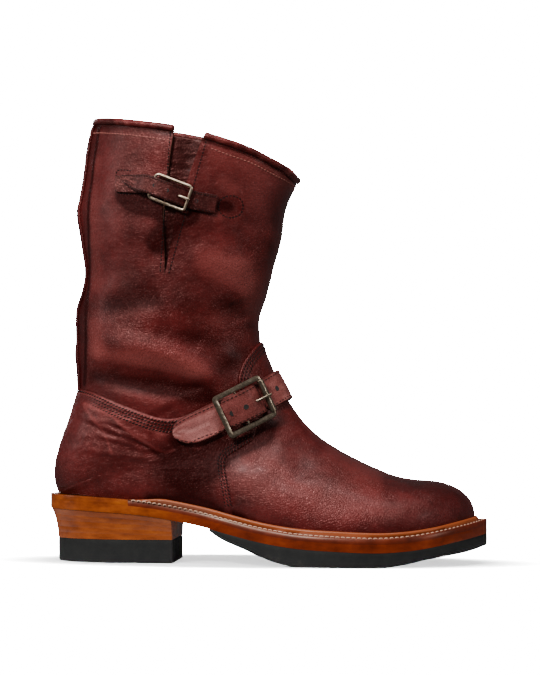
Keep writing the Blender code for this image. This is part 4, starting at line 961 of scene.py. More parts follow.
def make_welt(material):
    """Welt: a flange with a raised rib against the upper, from the waist round the toe and back."""
    stations = SOLE_ROWS[(SOLE_ROWS >= WELT_START_ROW - 0.01)]
    rings = []
    for side, rows in ((-1, stations), (1, stations[::-1][1:])):
        inner = edge_point(rows, side, PANEL_TOP + GAP + 0 * rows)
        outer = edge_point(rows, side, margin(rows))
        foot = edge_point(rows, side, PANEL_TOP + GAP + RIB_WIDTH + 0 * rows)
        values = sections(rows)
        front_z, back_z, end = values[1], values[3], values[10 if side > 0 else 9]
        tall = RIB_HEIGHT * (0.12 + 0.88 * smooth(0.0, 0.9, rows - WELT_START_ROW))
        share = 1 - tall / np.maximum(front_z - back_z, RIB_HEIGHT * 1.02)
        v = side * np.arccos(np.clip(1 - share * (1 - np.cos(end)), -1, 1)) / end
        safe = np.minimum(rows, TOE_ROW - 0.5)
        v = np.where(rows > TOE_ROW - 0.5, v * (TOE_ROW - rows) / 0.5, v)
        crest = surface(safe, v) + skin_normal(safe, v) * (PANEL_TOP + GAP)
        lean = unit(foot - inner)
        bumps = 0.0002 * noise(np.column_stack((inner, inner[:, 0])), 0.006, 51)[:, None]

        def at(plan, z):
            return np.column_stack((plan, z))

        top, low = welt_top(outer[:, 0]), welt_bottom(outer[:, 0])
        slim = (tall / RIB_HEIGHT)[:, None]
        rib = [at(crest[:, :2] + lean * (RIB_WIDTH * out * slim + bumps), crest[:, 2] - drop * slim[:, 0])
               for out, drop in RIB_SECTION]
        away = outer + unit(inner - outer) * 0.0007
        ring = [at(inner, welt_bottom(inner[:, 0])), at(outer, low), at(outer, low + 0.0006),
                at(outer, top - 0.0006), at(away, top),
                at(foot + lean * 0.0004 * slim, welt_top(foot[:, 0])),
                at(foot - lean * (0.0001 + 0.0012 * (1 - slim)), welt_top(foot[:, 0]) + 0.0006 * slim[:, 0]),
                *rib[::-1]]
        rings.append(np.stack(ring, axis=1))
    rings = np.concatenate(rings)
    tone_and_painted_light = np.broadcast_to(np.array((0.0,) * 5 + (0.1, 0.5) + (1.0,) * 5), rings.shape[:2])
    welt = grid_piece("welt_strip", rings, material, tone_and_painted_light, wrap=True, caps=True, smooth_angle=55)
    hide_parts("welt")


# Straps and buckles


def strip_spot(edges, along, across):
    """Row and v of places on a strap: along from 0 to 1, across from -1 to 1."""
    upper, lower, ridge_corner = edges
    position = np.asarray(along, float) * (len(upper) - 1)
    high, low = row_values(upper, position), row_values(lower, position)
    share = ((np.asarray(across) + 1) / 2)[..., None]
    place = low + (high - low) * share
    return spot(place[..., 0], place[..., 1], np.where(position < ridge_corner, -1, 1))


def strip_points(edges, along, across, lift):
    row, v = strip_spot(edges, along, across)
    return surface(row, v) + skin_normal(row, v) * np.asarray(lift)[..., None]


# Section of a strap: places across it, and their rise in strap thicknesses
STRAP_SECTION = (
    (-0.93, 0.0), (-0.985, 0.12), (-1.0, 0.35), (-1.0, 0.65), (-0.985, 0.86), (-0.955, 0.97),
    (-0.90, 1.0), (-0.8, 0.99), (-0.6, 1.0), (-0.4, 1.01), (-0.2, 1.02), (0.0, 1.02), (0.2, 1.02),
    (0.4, 1.01), (0.6, 1.0), (0.8, 0.99), (0.90, 1.0), (0.955, 0.97), (0.985, 0.86), (1.0, 0.65),
    (1.0, 0.35), (0.985, 0.12), (0.93, 0.0), (0.5, 0.0), (0.0, 0.0), (-0.5, 0.0),
)
# Pale creases along the straps: places as along and across, and amount
STRAP_CREASES = (
    (((0.03, 0.0), (0.10, 0.20), (0.20, 0.30), (0.32, 0.35)), 0.45),
    (((0.05, -0.20), (0.15, -0.05), (0.28, 0.05)), 0.40),
    (((0.36, 0.55), (0.48, 0.45), (0.60, 0.50)), 0.30),
)


# Paler and darker parts of the ankle strap: places along it, and amount. The part up to the buckle is paler,
# the part in the buckle's window darker.
STRAP_SHADES = ((0.0, 0.20), (0.28, 0.14), (0.36, -0.18), (0.52, -0.12), (0.60, 0.02), (1.0, 0.0))


def strap_piece(name, edges, lift, thickness, fit, tip, material, slot, count=150, grooves=(),
                shades=((0.0, 0.0), (1.0, 0.0))):
    """Strap with rounded edges and a rounded tip, following its lift over the upper."""
    along = np.concatenate((tip * (1 - np.cos(np.linspace(0, math.pi / 2, 16))),
                            np.linspace(tip, 1, count)[1:]))
    width = np.sqrt(np.clip(1 - (1 - np.minimum(along / tip, 1.0)) ** 2, 0.0, 1.0))
    width[0] = 0.02
    across = np.array([part[0] for part in STRAP_SECTION])
    rise = np.array([part[1] for part in STRAP_SECTION])
    base_along = np.repeat(along[:, None], len(across), axis=1)
    base_across = across[None, :] * width[:, None] * fit
    taper = 0.55 + 0.45 * np.minimum(width * 1.6, 1.0)
    top_line = np.array([curve_value(lift, value, 1) for value in along]) * thickness
    high = rise[None, :] * taper[:, None] * thickness
    for centre, depth, reach in grooves:
        high = high - depth * np.exp(-(((across - centre) / reach) ** 2))[None, :] * (rise > 0.9)[None, :]
    points = strip_points(edges, base_along, base_across, top_line[:, None] + high)
    edge = (np.abs(across) > 0.93) & (rise > 0.2)
    tone_and_painted_light = 0.54 + 0.2 * noise(points, 0.008, 61) - 0.45 * edge[None, :]
    tone_and_painted_light = tone_and_painted_light - 0.14 * (np.abs(across) > 0.75)[None, :]
    tone_and_painted_light = tone_and_painted_light + np.interp(along, *zip(*shades))[:, None]
    for line, amount in STRAP_CREASES:
        middle = np.interp(along, *np.array(line).T)
        near = np.exp(-(((across[None, :] - middle[:, None]) / 0.06) ** 2)) * (along < line[-1][0])[:, None]
        tone_and_painted_light = tone_and_painted_light + amount * near * (rise > 0.9)[None, :]
    band = grid_piece(name, points, material, np.clip(tone_and_painted_light, 0, 1), wrap=True, caps=True, smooth_angle=60)
    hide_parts(slot[0])
    return band


def buckle_frame(edges, bars, lifts):
    """Place of a buckle from its two bars: a matrix and the distance between the bars."""
    spans = [[Vector(strip_points(edges, along, across, lift)) for across in (-1.0, 0.0, 1.0)]
             for along, lift in zip(bars, lifts)]
    run = spans[1][1] - spans[0][1]
    reach = (spans[0][2] - spans[0][0]) + (spans[1][2] - spans[1][0])
    normal = run.cross(reach).normalized()
    points = [span[1] + normal * max((point - span[1]).dot(normal) for point in span)
              for span in spans]
    run = points[1] - points[0]
    along = run.normalized()
    across = normal.cross(along).normalized()
    matrix = Matrix((along, across, along.cross(across))).transposed().to_4x4()
    matrix.translation = (points[0] + points[1]) / 2
    return matrix, run.length


def placed(matrix, points):
    points = np.asarray(points, float)
    turn = np.array(matrix.to_3x3())
    return points @ turn.T + np.array(matrix.translation)


def rounded_loop(length, width, radius, steps):
    points = []
    for corner, (sign_x, sign_y) in enumerate(((1, 1), (-1, 1), (-1, -1), (1, -1))):
        centre_x = sign_x * (length / 2 - radius)
        centre_y = sign_y * (width / 2 - radius)
        for step in range(steps + 1):
            angle = math.pi / 2 * (corner + step / steps)
            points.append((centre_x + radius * math.cos(angle), centre_y + radius * math.sin(angle)))
    return np.array(points)


def ring_frame(loop_points, profile, matrix):
    """Frame whose bar section is profile, as inward offset and height, around a loop of points."""
    following = np.roll(loop_points, -1, axis=0) - np.roll(loop_points, 1, axis=0)
    inward = unit(np.column_stack((-following[:, 1], following[:, 0])))
    rings = []
    for offset, level in profile:
        plan = loop_points + inward * offset
        rings.append(np.column_stack((plan, np.full(len(plan), level))))
    grid = np.stack(rings, axis=1)
    grid = np.concatenate((grid, grid[:1]))
    return placed(matrix, grid)


def circle_profile(radius, sides, flat=1.0):
    angles = [2 * math.pi * side / sides for side in range(sides)]
    return [(radius * math.cos(angle), radius * flat * math.sin(angle)) for angle in angles]


def bent_bar(name, places, radius, matrix, material, slot, tip=0.6):
    """Round bar along a smooth line through places in the buckle's own frame."""
    line = row_values(places, np.linspace(0, len(places) - 1, 14 * (len(places) - 1) + 1))
    path = placed(matrix, line)
    thick = np.full(len(path), radius)
    thick[0] *= 0.6
    thick[-4:] *= np.array((1.0, 0.95, 0.85, tip))
    rings = tube_points(path, thick, 14, np.tile(np.array(matrix.to_3x3())[:, 2], (len(path), 1)))
    bar = grid_piece(name, rings, material, wrap=True, caps=True)
    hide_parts(slot[0])
    return bar


def top_edges():
    return TOP_STRAP_UPPER, TOP_STRAP_LOWER, len(TOP_STRAP_UPPER)


def ankle_edges():
    lines = []
    for line, level, end in zip((ANKLE_STRAP_UPPER, ANKLE_STRAP_LOWER), ANKLE_RIDGE_LEVELS,
                                ANKLE_STRAP_INNER_END):
        def above(row):
            front_x, front_z = sections(row)[:2]
            return front_z - height(front_x, level)
        row = float(solve(above, 0.0, float(TOE_ROW)))
        ridge = (float(x_along(sections(row)[0])), level)
        lines.append((*line, ridge, line[-1], end))
    return (*lines, len(ANKLE_STRAP_UPPER))


TOP_STRAP_FIT = 0.88            # a strap's width, as a share of the lines drawn for it
ANKLE_STRAP_FIT = 0.92
TOP_STRAP_TIP = 0.10            # length of a strap's rounded tip, as a share of its whole length
ANKLE_STRAP_TIP = 0.075
ANKLE_STRAP_GROOVE = (0.0, 0.00022, 0.03)       # place across the strap, depth, width


def make_top_strap(leather, metal):
    edges = top_edges()
    strap_piece("collar_strap", edges, TOP_STRAP_LIFT, TOP_STRAP_THICKNESS, TOP_STRAP_FIT, TOP_STRAP_TIP,
                leather, ("top_strap", "strap_leather"), 120)
    chape = (TOP_CHAPE_UPPER, TOP_CHAPE_LOWER, len(TOP_CHAPE_UPPER))
    strap_piece("collar_strap_base", chape, ((0.0, 0.4), (1.0, 0.4)), CHAPE_THICKNESS, 1.0, 0.08, leather,
                ("top_chape", "strap_leather"), 40)

    def lift(along):
        return TOP_STRAP_THICKNESS * curve_value(TOP_STRAP_LIFT, along, 1)
    left_lift = PANEL_GAP + CHAPE_THICKNESS + GAP + TOP_BAR_RADIUS
    right_lift = lift(TOP_BARS[1]) + TOP_STRAP_THICKNESS + BUCKLE_GAP + TOP_BAR_RADIUS
    matrix, length = buckle_frame(edges, TOP_BARS, (left_lift, right_lift))
    loop = rounded_loop(length, TOP_FRAME_WIDTH - 2 * TOP_BAR_RADIUS, 0.0022, 8)
    profile = circle_profile(TOP_BAR_RADIUS * 0.92, 14, 0.9)
    ring = grid_piece("collar_buckle", ring_frame(loop, profile, matrix), metal, wrap=True)
    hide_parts("top_buckle")
    high = TOP_BAR_RADIUS + GAP + PRONG_RADIUS
    bent_bar("collar_prong", ((-length / 2 + 0.0024, 0, -0.001), (0.16 * length, 0, -0.0005),
                              (0.30 * length, 0, 0.0024), (length / 2 + 0.0016, 0, high)),
             PRONG_RADIUS * 0.9, matrix, metal, ("top_prong", "aged_steel"))
    return edges


def make_ankle_strap(leather, metal):
    edges = ankle_edges()
    strap_piece("ankle_strap", edges, ANKLE_STRAP_LIFT, ANKLE_STRAP_THICKNESS, ANKLE_STRAP_FIT,
                ANKLE_STRAP_TIP, leather, ("instep_strap", "strap_leather"), 260, (ANKLE_STRAP_GROOVE,),
                STRAP_SHADES)

    def lift(along):
        return ANKLE_STRAP_THICKNESS * curve_value(ANKLE_STRAP_LIFT, along, 1)
    left_lift = lift(ANKLE_BARS[0]) + ANKLE_STRAP_THICKNESS + BUCKLE_GAP + ANKLE_FRAME_THICKNESS / 2
    right_lift = lift(ANKLE_BARS[1]) + ANKLE_STRAP_THICKNESS + BUCKLE_GAP + ROLLER_RADIUS
    matrix, length = buckle_frame(edges, ANKLE_BARS, (left_lift, right_lift))
    bar, thin, thick = ANKLE_BAR_WIDTH, ANKLE_FRAME_THICKNESS, ANKLE_FRAME_THICKNESS
    left, right = -length / 2 - bar / 2, length / 2 + thin / 2
    outer = rounded_loop(right - left, ANKLE_FRAME_WIDTH, bar * 0.8, 8)
    window = rounded_loop(right - thin - left - bar, ANKLE_FRAME_WIDTH - 2 * bar, bar * 0.2, 8)
    outer = outer + np.array(((left + right) / 2, 0.0))
    window = window + np.array(((left + bar + right - thin) / 2, 0.0))
    grid = []
    for share, level in ((0.0, -0.25), (0.0, 0.25), (0.05, 0.42), (0.16, 0.5), (0.5, 0.52), (0.84, 0.5),
                         (0.95, 0.42), (1.0, 0.25), (1.0, -0.25), (0.95, -0.45), (0.5, -0.5), (0.05, -0.45)):
        plan = outer + (window - outer) * share
        grid.append(np.column_stack((plan, np.full(len(plan), level * thick))))
    grid = np.stack(grid, axis=1)
    grid = np.concatenate((grid, grid[:1]))
    plate = grid_piece("ankle_buckle", placed(matrix, grid), metal, wrap=True, smooth_angle=35)
    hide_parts("instep_buckle")
    end = ANKLE_FRAME_WIDTH / 2 - bar - GAP
    edge = ROLLER_RADIUS - 0.0003
    profile = ((-end, 0.0016), (-end, edge), (-end + 0.0003, ROLLER_RADIUS), (0.0, ROLLER_RADIUS),
               (end - 0.0003, ROLLER_RADIUS), (end, edge), (end, 0.0016))
    angle = np.linspace(0, 2 * math.pi, 33)
    grid = np.stack([
        np.column_stack((length / 2 + radius * np.cos(angle), np.full(33, y), radius * np.sin(angle)))
        for y, radius in profile], axis=1)
    roller = grid_piece("ankle_roller", placed(matrix, grid), metal, smooth_angle=35)
    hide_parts("instep_roller")
    low = -thick / 2 - GAP - 0.0010
    centre = length * ANKLE_CENTRE_BAR
    reach = ANKLE_FRAME_WIDTH / 2 - bar / 2
    bent_bar("ankle_centre_bar", ((centre, -reach, low), (centre, 0, low), (centre, reach, low)), 0.0010,
             matrix, metal, ("instep_centre_bar", "aged_brass"), 0.9)
    high = ROLLER_RADIUS + GAP + PRONG_RADIUS
    bent_bar("ankle_prong", ((centre + 0.0023, 0, low), (centre + 0.0085, 0, 0.0010),
                             (length / 2 - 0.0035, 0, high * 0.95), (length / 2 + 0.0026, 0, high)),
             PRONG_RADIUS, matrix, metal, ("instep_prong", "aged_brass"))
    return edges


# Stitches


def resampled(path, pitch):
    """Places at an even pitch along a path of points, and the run at each."""
    steps = np.linalg.norm(np.diff(path, axis=0), axis=1)
    along = np.concatenate(([0.0], np.cumsum(steps)))
    count = max(int(along[-1] / pitch), 1)
    at = (np.arange(count) + 0.5) * along[-1] / count
    return at, along


def stitches(name, rows_of, pitch, length, radius, material, slant=0.0, sink=0.35):
    """One mesh of short sewn threads along paths. Each path is points and normals."""
    grids, tones_and_painted_light = [], []
    for path, normal in rows_of:
        at, along = resampled(path, pitch)
        for place in at:
            t = np.array((-0.5, -0.3, 0.0, 0.3, 0.5)) * length + place
            points = np.column_stack([np.interp(t, along, path[:, k]) for k in range(3)])
            up = unit(np.column_stack([np.interp(t, along, normal[:, k]) for k in range(3)]))
            if slant:
                side = np.cross(up[2], unit(points[-1] - points[0]))
                points = points + side * (np.array((-0.5, -0.3, 0.0, 0.3, 0.5)) * slant)[:, None]
            rise = np.array((-1.0, 0.35, 0.75, 0.35, -1.0)) * radius * (1 - sink)
            points = points + up * rise[:, None]
            thick = np.array((0.7, 1.0, 1.0, 1.0, 0.7)) * radius
            grids.append(tube_points(points, thick, 6, up))
            tones_and_painted_light.append(np.full((5, 6), 0.5))
    piece = joined(name, grids, material, tones_and_painted_light, wrap=True, weld=False)
    return piece


def sewn_path(places, offset, side, lift, steps=10, first=0.0, last=1.0):
    """Path on the skin beside a line of places, moved in the side view by offset to its right."""
    line = side_line(places, steps)
    run = unit(np.gradient(line, axis=0))
    line = line + np.column_stack((run[:, 1], -run[:, 0])) * offset
    count = len(line)
    line = line[int(first * count):max(int(last * count), int(first * count) + 2)]
    along = x_along(line[:, 0])
    row, v = spot(along, level_at(line[:, 0], line[:, 1]), side)
    base = surface(row, v)
    normal = skin_normal(row, v)
    return base + normal * (lift + relief(base))[:, None], normal


STITCHED_OVAL = (
    (0.465, 1.642), (0.459, 1.671), (0.438, 1.684), (0.416, 1.670), (0.409, 1.641), (0.416, 1.612),
    (0.437, 1.599), (0.458, 1.613), (0.465, 1.642),
)
BACK_STITCH_PLACE = 0.078       # place of the back strip's stitches, in v from the back line
STITCHED_BOX = ((0.202, 1.782), (0.165, 1.784), (0.163, 1.740), (0.166, 1.700), (0.202, 1.690))


# Bands of stitches: name, line, its steps and its first and last share, offsets from it, thread radius
STITCHED_BANDS = (
    ("stitches_counter_top", COUNTER_TOP, (12,), (0.0020, 0.0042, 0.0064, 0.0086), 0.00036),
    ("stitches_counter_front", COUNTER_FRONT, (8, 0.28, 0.93), (0.0016, 0.0036, 0.0056), 0.00036),
    ("stitches_tongue", TONGUE_LINE, (10, 0.08, 1.0), (-0.0014, -0.0034, -0.0054), 0.00034),
)


def make_stitches(dark, pale, cream):
    sides = (-1, 1)
    for name, line, span, offsets, radius in STITCHED_BANDS:
        rows = [sewn_path(line, offset, side, PANEL_TOP, *span) for side in sides for offset in offsets]
        stitches(name, rows, 0.0024, 0.0017, radius, dark, slant=0.0010)
    for name, drop, ends, pitch, radius, material in (
            ("stitches_collar", 0.060, ((0.296, 1.896), (0.392, 1.866), (0.590, 1.708)), 0.0026, 0.00034,
             pale),
            ("stitches_groove", 0.032, ((0.300, 1.922), (0.388, 1.896), (0.590, 1.725)), 0.0024, 0.00032,
             dark)):
        line = [(along, level - drop) for along, level in COLLAR_LINE]
        back = [place for place in line if place[0] < 0.28] + [ends[0]]
        front = [ends[1]] + [place for place in line if 0.40 < place[0] < 0.58] + [ends[2]]
        rows = [sewn_path(places, 0.0, side, 0.0)
                for places, side in ((back, -1), (front, -1), (line[:-2], 1))]
        stitches(name, rows, pitch, 0.0017, radius, material)
    rows = []
    for place, sign in ((SLIT_TOP_BACK, 1), (SLIT_TOP_FRONT, -1)):
        line = (place, tuple((a + b) / 2 for a, b in zip(place, SLIT_TIP)), SLIT_TIP)
        rows.append(sewn_path(line, sign * 0.0028, -1, 0.0, 14, 0.06, 0.98))
    stitches("stitches_slit", rows, 0.0024, 0.0016, 0.00034, dark)
    rows = [sewn_path(STITCHED_OVAL, 0.0, -1, 0.0), sewn_path(STITCHED_BOX, 0.0, -1, 0.0)]
    stitches("stitches_strap_ends", rows, 0.0024, 0.0016, 0.00034, dark)
    rows = []
    for v in (1 - BACK_STITCH_PLACE, -1 + BACK_STITCH_PLACE):
        row = np.linspace(float(collar_row(1.0, 0.006)), float(spot(*COUNTER_TOP[0], -1)[0]) - 0.1, 160)
        base = surface(row, np.full(row.shape, v))
        normal = skin_normal(row, np.full(row.shape, v))
        rows.append((base + normal * (PANEL_TOP + relief(base))[:, None], normal))
    stitches("stitches_backstay", rows, 0.0028, 0.0021, 0.00022, dark, sink=0.5)
    rows = []
    for side in sides:
        row = np.linspace(WELT_START_ROW + 0.1, TOE_ROW - 0.3, 500)
        plan = edge_point(row, side, margin(row) * 0.5 + (PANEL_TOP + GAP + RIB_WIDTH) * 0.5 + 0.0004)
        path = np.column_stack((plan, welt_top(plan[:, 0])))
        rows.append((path, np.tile((0.0, 0.0, 1.0), (len(path), 1))))
    stitches("stitches_welt", rows, 0.0036, 0.0028, 0.00042, cream, slant=0.0008, sink=0.1)


def strap_stitches(name, edges, lift, thickness, fit, tip, inset, material, pitch, start, end):
    rows = []
    for side in (-1, 1):
        along = np.linspace(start, end, 160)
        width = np.sqrt(np.clip(1 - (1 - np.minimum(along / tip, 1.0)) ** 2, 0.0, 1.0))
        across = side * np.maximum(width * fit - inset, 0.0)
        top = np.array([curve_value(lift, value, 1) for value in along]) * thickness + thickness
        row, v = strip_spot(edges, along, across)
        normal = skin_normal(row, v)
        rows.append((surface(row, v) + normal * top[:, None], normal))
    stitches(name, rows, pitch, pitch * 0.66, 0.00024, material)


# Section of a punched hole from its lip inward: shares of its radius, and rise in metres
HOLE_SECTION = (
    (1.25, -0.00005), (1.12, 0.00012), (1.0, 0.00008), (0.92, 0.00004), (0.4, 0.00003), (0.02, 0.00003),
)


def strap_holes(name, edges, lift, thickness, places, radius, material):
    """Punched holes with a slightly raised lip, as dark cups let into the strap."""
    grids = []
    for along, across in places:
        row, v = strip_spot(edges, np.array(along), np.array(across))
        normal = skin_normal(row, v)
        top = curve_value(lift, along, 1) * thickness + thickness
        centre = surface(row, v) + normal * top
        side = unit(np.cross(normal, (0.0, 0.0, 1.0)))
        up = np.cross(side, normal)
        angle = np.linspace(0, 2 * math.pi, 20, endpoint=False)
        ring = side[None, :] * np.cos(angle)[:, None] + up[None, :] * np.sin(angle)[:, None]
        grids.append(np.stack([centre + ring * radius * share + normal * rise
                               for share, rise in HOLE_SECTION]))
    piece = joined(name, grids, material, wrap=True)


# Materials


class Nodes:
    """Short way to build a node tree."""

    def __init__(self, material):
        material.use_nodes = True
        self.tree = material.node_tree
        self.shader = self.tree.nodes["Principled BSDF"]

    def add(self, kind, inputs=None, **settings):
        node = self.tree.nodes.new(kind)
        for key, value in settings.items():
            setattr(node, key, value)
        for key, value in (inputs or {}).items():
            self.put(node, key, value)
        return node

    def put(self, node, key, value):
        if isinstance(value, bpy.types.NodeSocket):
            self.tree.links.new(value, node.inputs[key])
        else:
            node.inputs[key].default_value = value

    def position(self, scale):
        coordinates = self.add("ShaderNodeTexCoord").outputs["Object"]
        return self.add("ShaderNodeMapping", {"Vector": coordinates, "Scale": scale}).outputs["Vector"]

    def noise(self, scale, detail=3.0, roughness=0.55, stretch=(1.0, 1.0, 1.0), distortion=0.0):
        return self.add("ShaderNodeTexNoise", {
            "Vector": self.position(stretch), "Scale": scale, "Detail": detail, "Roughness": roughness,
            "Distortion": distortion}).outputs["Fac"]

    def cells(self, scale, stretch=(1.0, 1.0, 1.0), feature="DISTANCE_TO_EDGE"):
        return self.add("ShaderNodeTexVoronoi", {"Vector": self.position(stretch), "Scale": scale},
                        feature=feature).outputs["Distance"]

    def ramp(self, value, *stops):
        node = self.add("ShaderNodeValToRGB", {"Fac": value})
        elements = node.color_ramp.elements
        while len(elements) > 1:
            elements.remove(elements[-1])
        for number, (place, color) in enumerate(stops):
            if isinstance(color, float):
                color = (color, color, color)
            element = elements[0] if number == 0 else elements.new(place)
            element.position = place
            element.color = (*color, 1.0)
        return node.outputs["Color"]

    def mix(self, share, first, second, blend="MIX"):
        node = self.add("ShaderNodeMix", data_type="RGBA", blend_type=blend)
        for index, value in ((0, share), (6, first), (7, second)):
            if isinstance(value, bpy.types.NodeSocket):
                self.tree.links.new(value, node.inputs[index])
            elif index == 0:
                node.inputs[0].default_value = value
            else:
                node.inputs[index].default_value = (*value, 1.0)
        return node.outputs[2]

    def math(self, operation, *values, clamp=False):
        node = self.add("ShaderNodeMath", operation=operation, use_clamp=clamp)
        for index, value in enumerate(values):
            self.put(node, index, value)
        return node.outputs[0]

    def tone_and_painted_light(self):
        return self.add("ShaderNodeAttribute", attribute_name="tone_and_painted_light").outputs["Fac"]

    def bump(self, value, strength, distance, before=None):
        node = self.add("ShaderNodeBump", {"Height": value, "Strength": strength, "Distance": distance})
        if before is not None:
            self.tree.links.new(before, node.inputs["Normal"])
        return node.outputs["Normal"]

    def out(self, **values):
        for key, value in values.items():
            self.put(self.shader, key.replace("_", " "), value)


def leather(name, deep, middle, pale, worn_and_highlight, roughness=0.36, coat=0.05, grain=0.00024):
    """Waxed leather: cloudy colour and fine grain. Where the tone and painted-light value is low it is
    painted darker and less shiny, as painted shade in folds, under the straps and in the collar groove;
    where it is high it is painted paler, as worn grain and painted highlight.
    """
    material = bpy.data.materials.new(name)
    n = Nodes(material)
    clouds = n.noise(24.0, 4.0, 0.6)
    patches = n.noise(90.0, 5.0, 0.65)
    color = n.ramp(n.math("MULTIPLY_ADD", patches, 0.35, n.math("MULTIPLY", clouds, 0.65)),
                   (0.36, deep), (0.50, middle), (0.66, pale))
    tone_and_painted_light = n.tone_and_painted_light()
    # Painted shade: darker colour where the value is low, in fold troughs, under the straps and in the
    # collar groove.
    color = n.mix(n.ramp(tone_and_painted_light, (0.0, 0.90), (0.46, 0.0)), color, tuple(part * 0.40 for part in deep))
    # Painted highlight, with worn places: paler where the value is high.
    color = n.mix(n.ramp(tone_and_painted_light, (0.52, 0.0), (0.95, 0.85)), color, pale)
    speck = n.noise(1500.0, 2.0, 0.7)
    # Speckled paler colour where the value is high: worn grain and painted highlight.
    worn_and_highlight_share = n.math("MULTIPLY", n.ramp(tone_and_painted_light, (0.55, 0.0), (1.0, 1.0)), n.ramp(speck, (0.35, 0.35), (0.6, 0.85)))
    color = n.mix(worn_and_highlight_share, color, worn_and_highlight)
    color = n.mix(n.ramp(speck, (0.52, 0.0), (0.68, 0.30)), color, pale)
    color = n.mix(n.ramp(speck, (0.32, 0.55), (0.46, 0.0)), color, deep)
    cells = n.cells(760.0)
    pebble = n.ramp(cells, (0.0, 0.0), (0.22, 1.0))
    fine = n.noise(2600.0, 2.0, 0.6)
    wrinkle = n.noise(180.0, 4.0, 0.6, (1.0, 1.0, 2.2), 0.6)
    normal = n.bump(wrinkle, 0.30, 0.0010)
    normal = n.bump(pebble, 0.50, grain, normal)
    normal = n.bump(fine, 0.25, grain * 0.6, normal)
    rough = n.math("MULTIPLY_ADD", patches, 0.20, roughness - 0.10)
    shine = n.math("MULTIPLY", n.ramp(tone_and_painted_light, (0.0, 0.22), (0.46, 1.0)), 0.48)
    n.out(Base_Color=color, Roughness=rough, Normal=normal, Coat_Weight=coat, Coat_Roughness=0.30,
          Specular_IOR_Level=shine, Specular_Tint=(1.0, 0.42, 0.38, 1.0))
    return material


def thread(name, color):
    material = bpy.data.materials.new(name)
    n = Nodes(material)
    shade = n.noise(900.0, 2.0)
    n.out(Base_Color=n.mix(shade, color, tuple(part * 0.6 for part in color)), Roughness=0.8,
          Specular_IOR_Level=0.15,
          Normal=n.bump(n.noise(3500.0, 1.0, 0.5, (1.0, 1.0, 1.0)), 0.5, 0.0001))
    return material


def layered_leather(name, dark, light, bright, rib, line_scale, roughness=0.3, coat=0.5, heel=None):
    """Burnished cut edge of sole leather: long level streaks."""
    material = bpy.data.materials.new(name)
    n = Nodes(material)
    streak = n.noise(55.0, 5.0, 0.65, (1.0, 1.0, line_scale))
    blotch = n.noise(70.0, 3.0, 0.6)
    color = n.ramp(n.math("MULTIPLY_ADD", streak, 0.7, n.math("MULTIPLY", blotch, 0.3)),
                   (0.34, dark), (0.52, light), (0.68, bright))
    pits = n.noise(600.0, 3.0, 0.7, (1.0, 1.0, 3.0))
    color = n.mix(n.ramp(pits, (0.62, 0.0), (0.75, 0.6)), color, dark)
    if heel is not None:
        place = n.add("ShaderNodeSeparateXYZ", {"Vector": n.position((1.0, 1.0, 1.0))}).outputs["X"]
        share = n.add("ShaderNodeMapRange", {"Value": place, "From Min": -0.085, "From Max": -0.045,
                                             "To Min": 1.0, "To Max": 0.0}).outputs["Result"]
        color = n.mix(share, color, n.ramp(streak, (0.34, heel[0]), (0.52, heel[1]), (0.68, heel[2])))
    color = n.mix(n.ramp(n.tone_and_painted_light(), (0.3, 0.0), (0.8, 0.8)), color, rib)
    normal = n.bump(streak, 0.10, 0.0004)
    normal = n.bump(pits, 0.15, 0.00012, normal)
    n.out(Base_Color=color, Roughness=n.math("MULTIPLY_ADD", blotch, 0.25, roughness - 0.1), Normal=normal,
          Coat_Weight=coat, Coat_Roughness=0.2, Specular_IOR_Level=0.3, Specular_Tint=(1.0, 0.75, 0.6, 1.0))
    return material


def rubber(name):
    material = bpy.data.materials.new(name)
    n = Nodes(material)
    dust = n.noise(120.0, 5.0, 0.7)
    color = n.ramp(dust, (0.35, (0.0022, 0.0021, 0.002)), (0.62, (0.0052, 0.005, 0.0045)),
                   (0.85, (0.018, 0.016, 0.012)))
    normal = n.bump(n.noise(1400.0, 3.0, 0.6), 0.35, 0.00025)
    n.out(Base_Color=color, Roughness=0.7, Normal=normal, Specular_IOR_Level=0.2)
    return material


def aged_metal(name, bright, dull, stain, roughness):
    """Plated metal that has gone dull, with stains in its pits."""
    material = bpy.data.materials.new(name)
    n = Nodes(material)
    patch = n.noise(260.0, 5.0, 0.7)
    color = n.ramp(patch, (0.30, stain), (0.50, dull), (0.70, bright))
    metallic = n.ramp(patch, (0.30, 0.75), (0.5, 1.0))
    normal = n.bump(n.noise(700.0, 3.0, 0.6), 0.14, 0.0002)
    normal = n.bump(n.noise(3000.0, 2.0, 0.6), 0.25, 0.00008, normal)
    n.out(Base_Color=color, Metallic=metallic, Normal=normal,
          Roughness=n.math("MULTIPLY_ADD", patch, -0.25, roughness + 0.12))
    return material


def plain(name, color, roughness):
    material = bpy.data.materials.new(name)
    Nodes(material).out(Base_Color=(*color, 1.0), Roughness=roughness)
    return material


# Studio and camera


VIEW_DISTANCE = 1.9
VIEW_TURN = 6.5                 # degrees the camera stands round to the toe
MM_PER_PIXEL = 0.000693
PHOTO_HEIGHT = 675
SENSOR = 36.0
VIEW_CENTRE = (0.0022, 0.0, 0.155)


def area_light(name, place, aim, size, power, color=(1.0, 1.0, 1.0)):
    data = bpy.data.lights.new(name, "AREA")
    data.shape = "RECTANGLE"
    data.size, data.size_y = size
    data.energy = power
    data.color = color
    lamp = bpy.data.objects.new(name, data)
    lamp.location = place
    lamp.rotation_euler = (Vector(aim) - Vector(place)).to_track_quat("-Z", "Y").to_euler()
    bpy.context.scene.collection.objects.link(lamp)
    return lamp


FLOOR_REACH = 1.6
# The greyer patch that this fade leaves round the boot is a painted soft shadow.
FLOOR_FADE = (0.045, 0.095)       # distances over which the floor fades into the white background


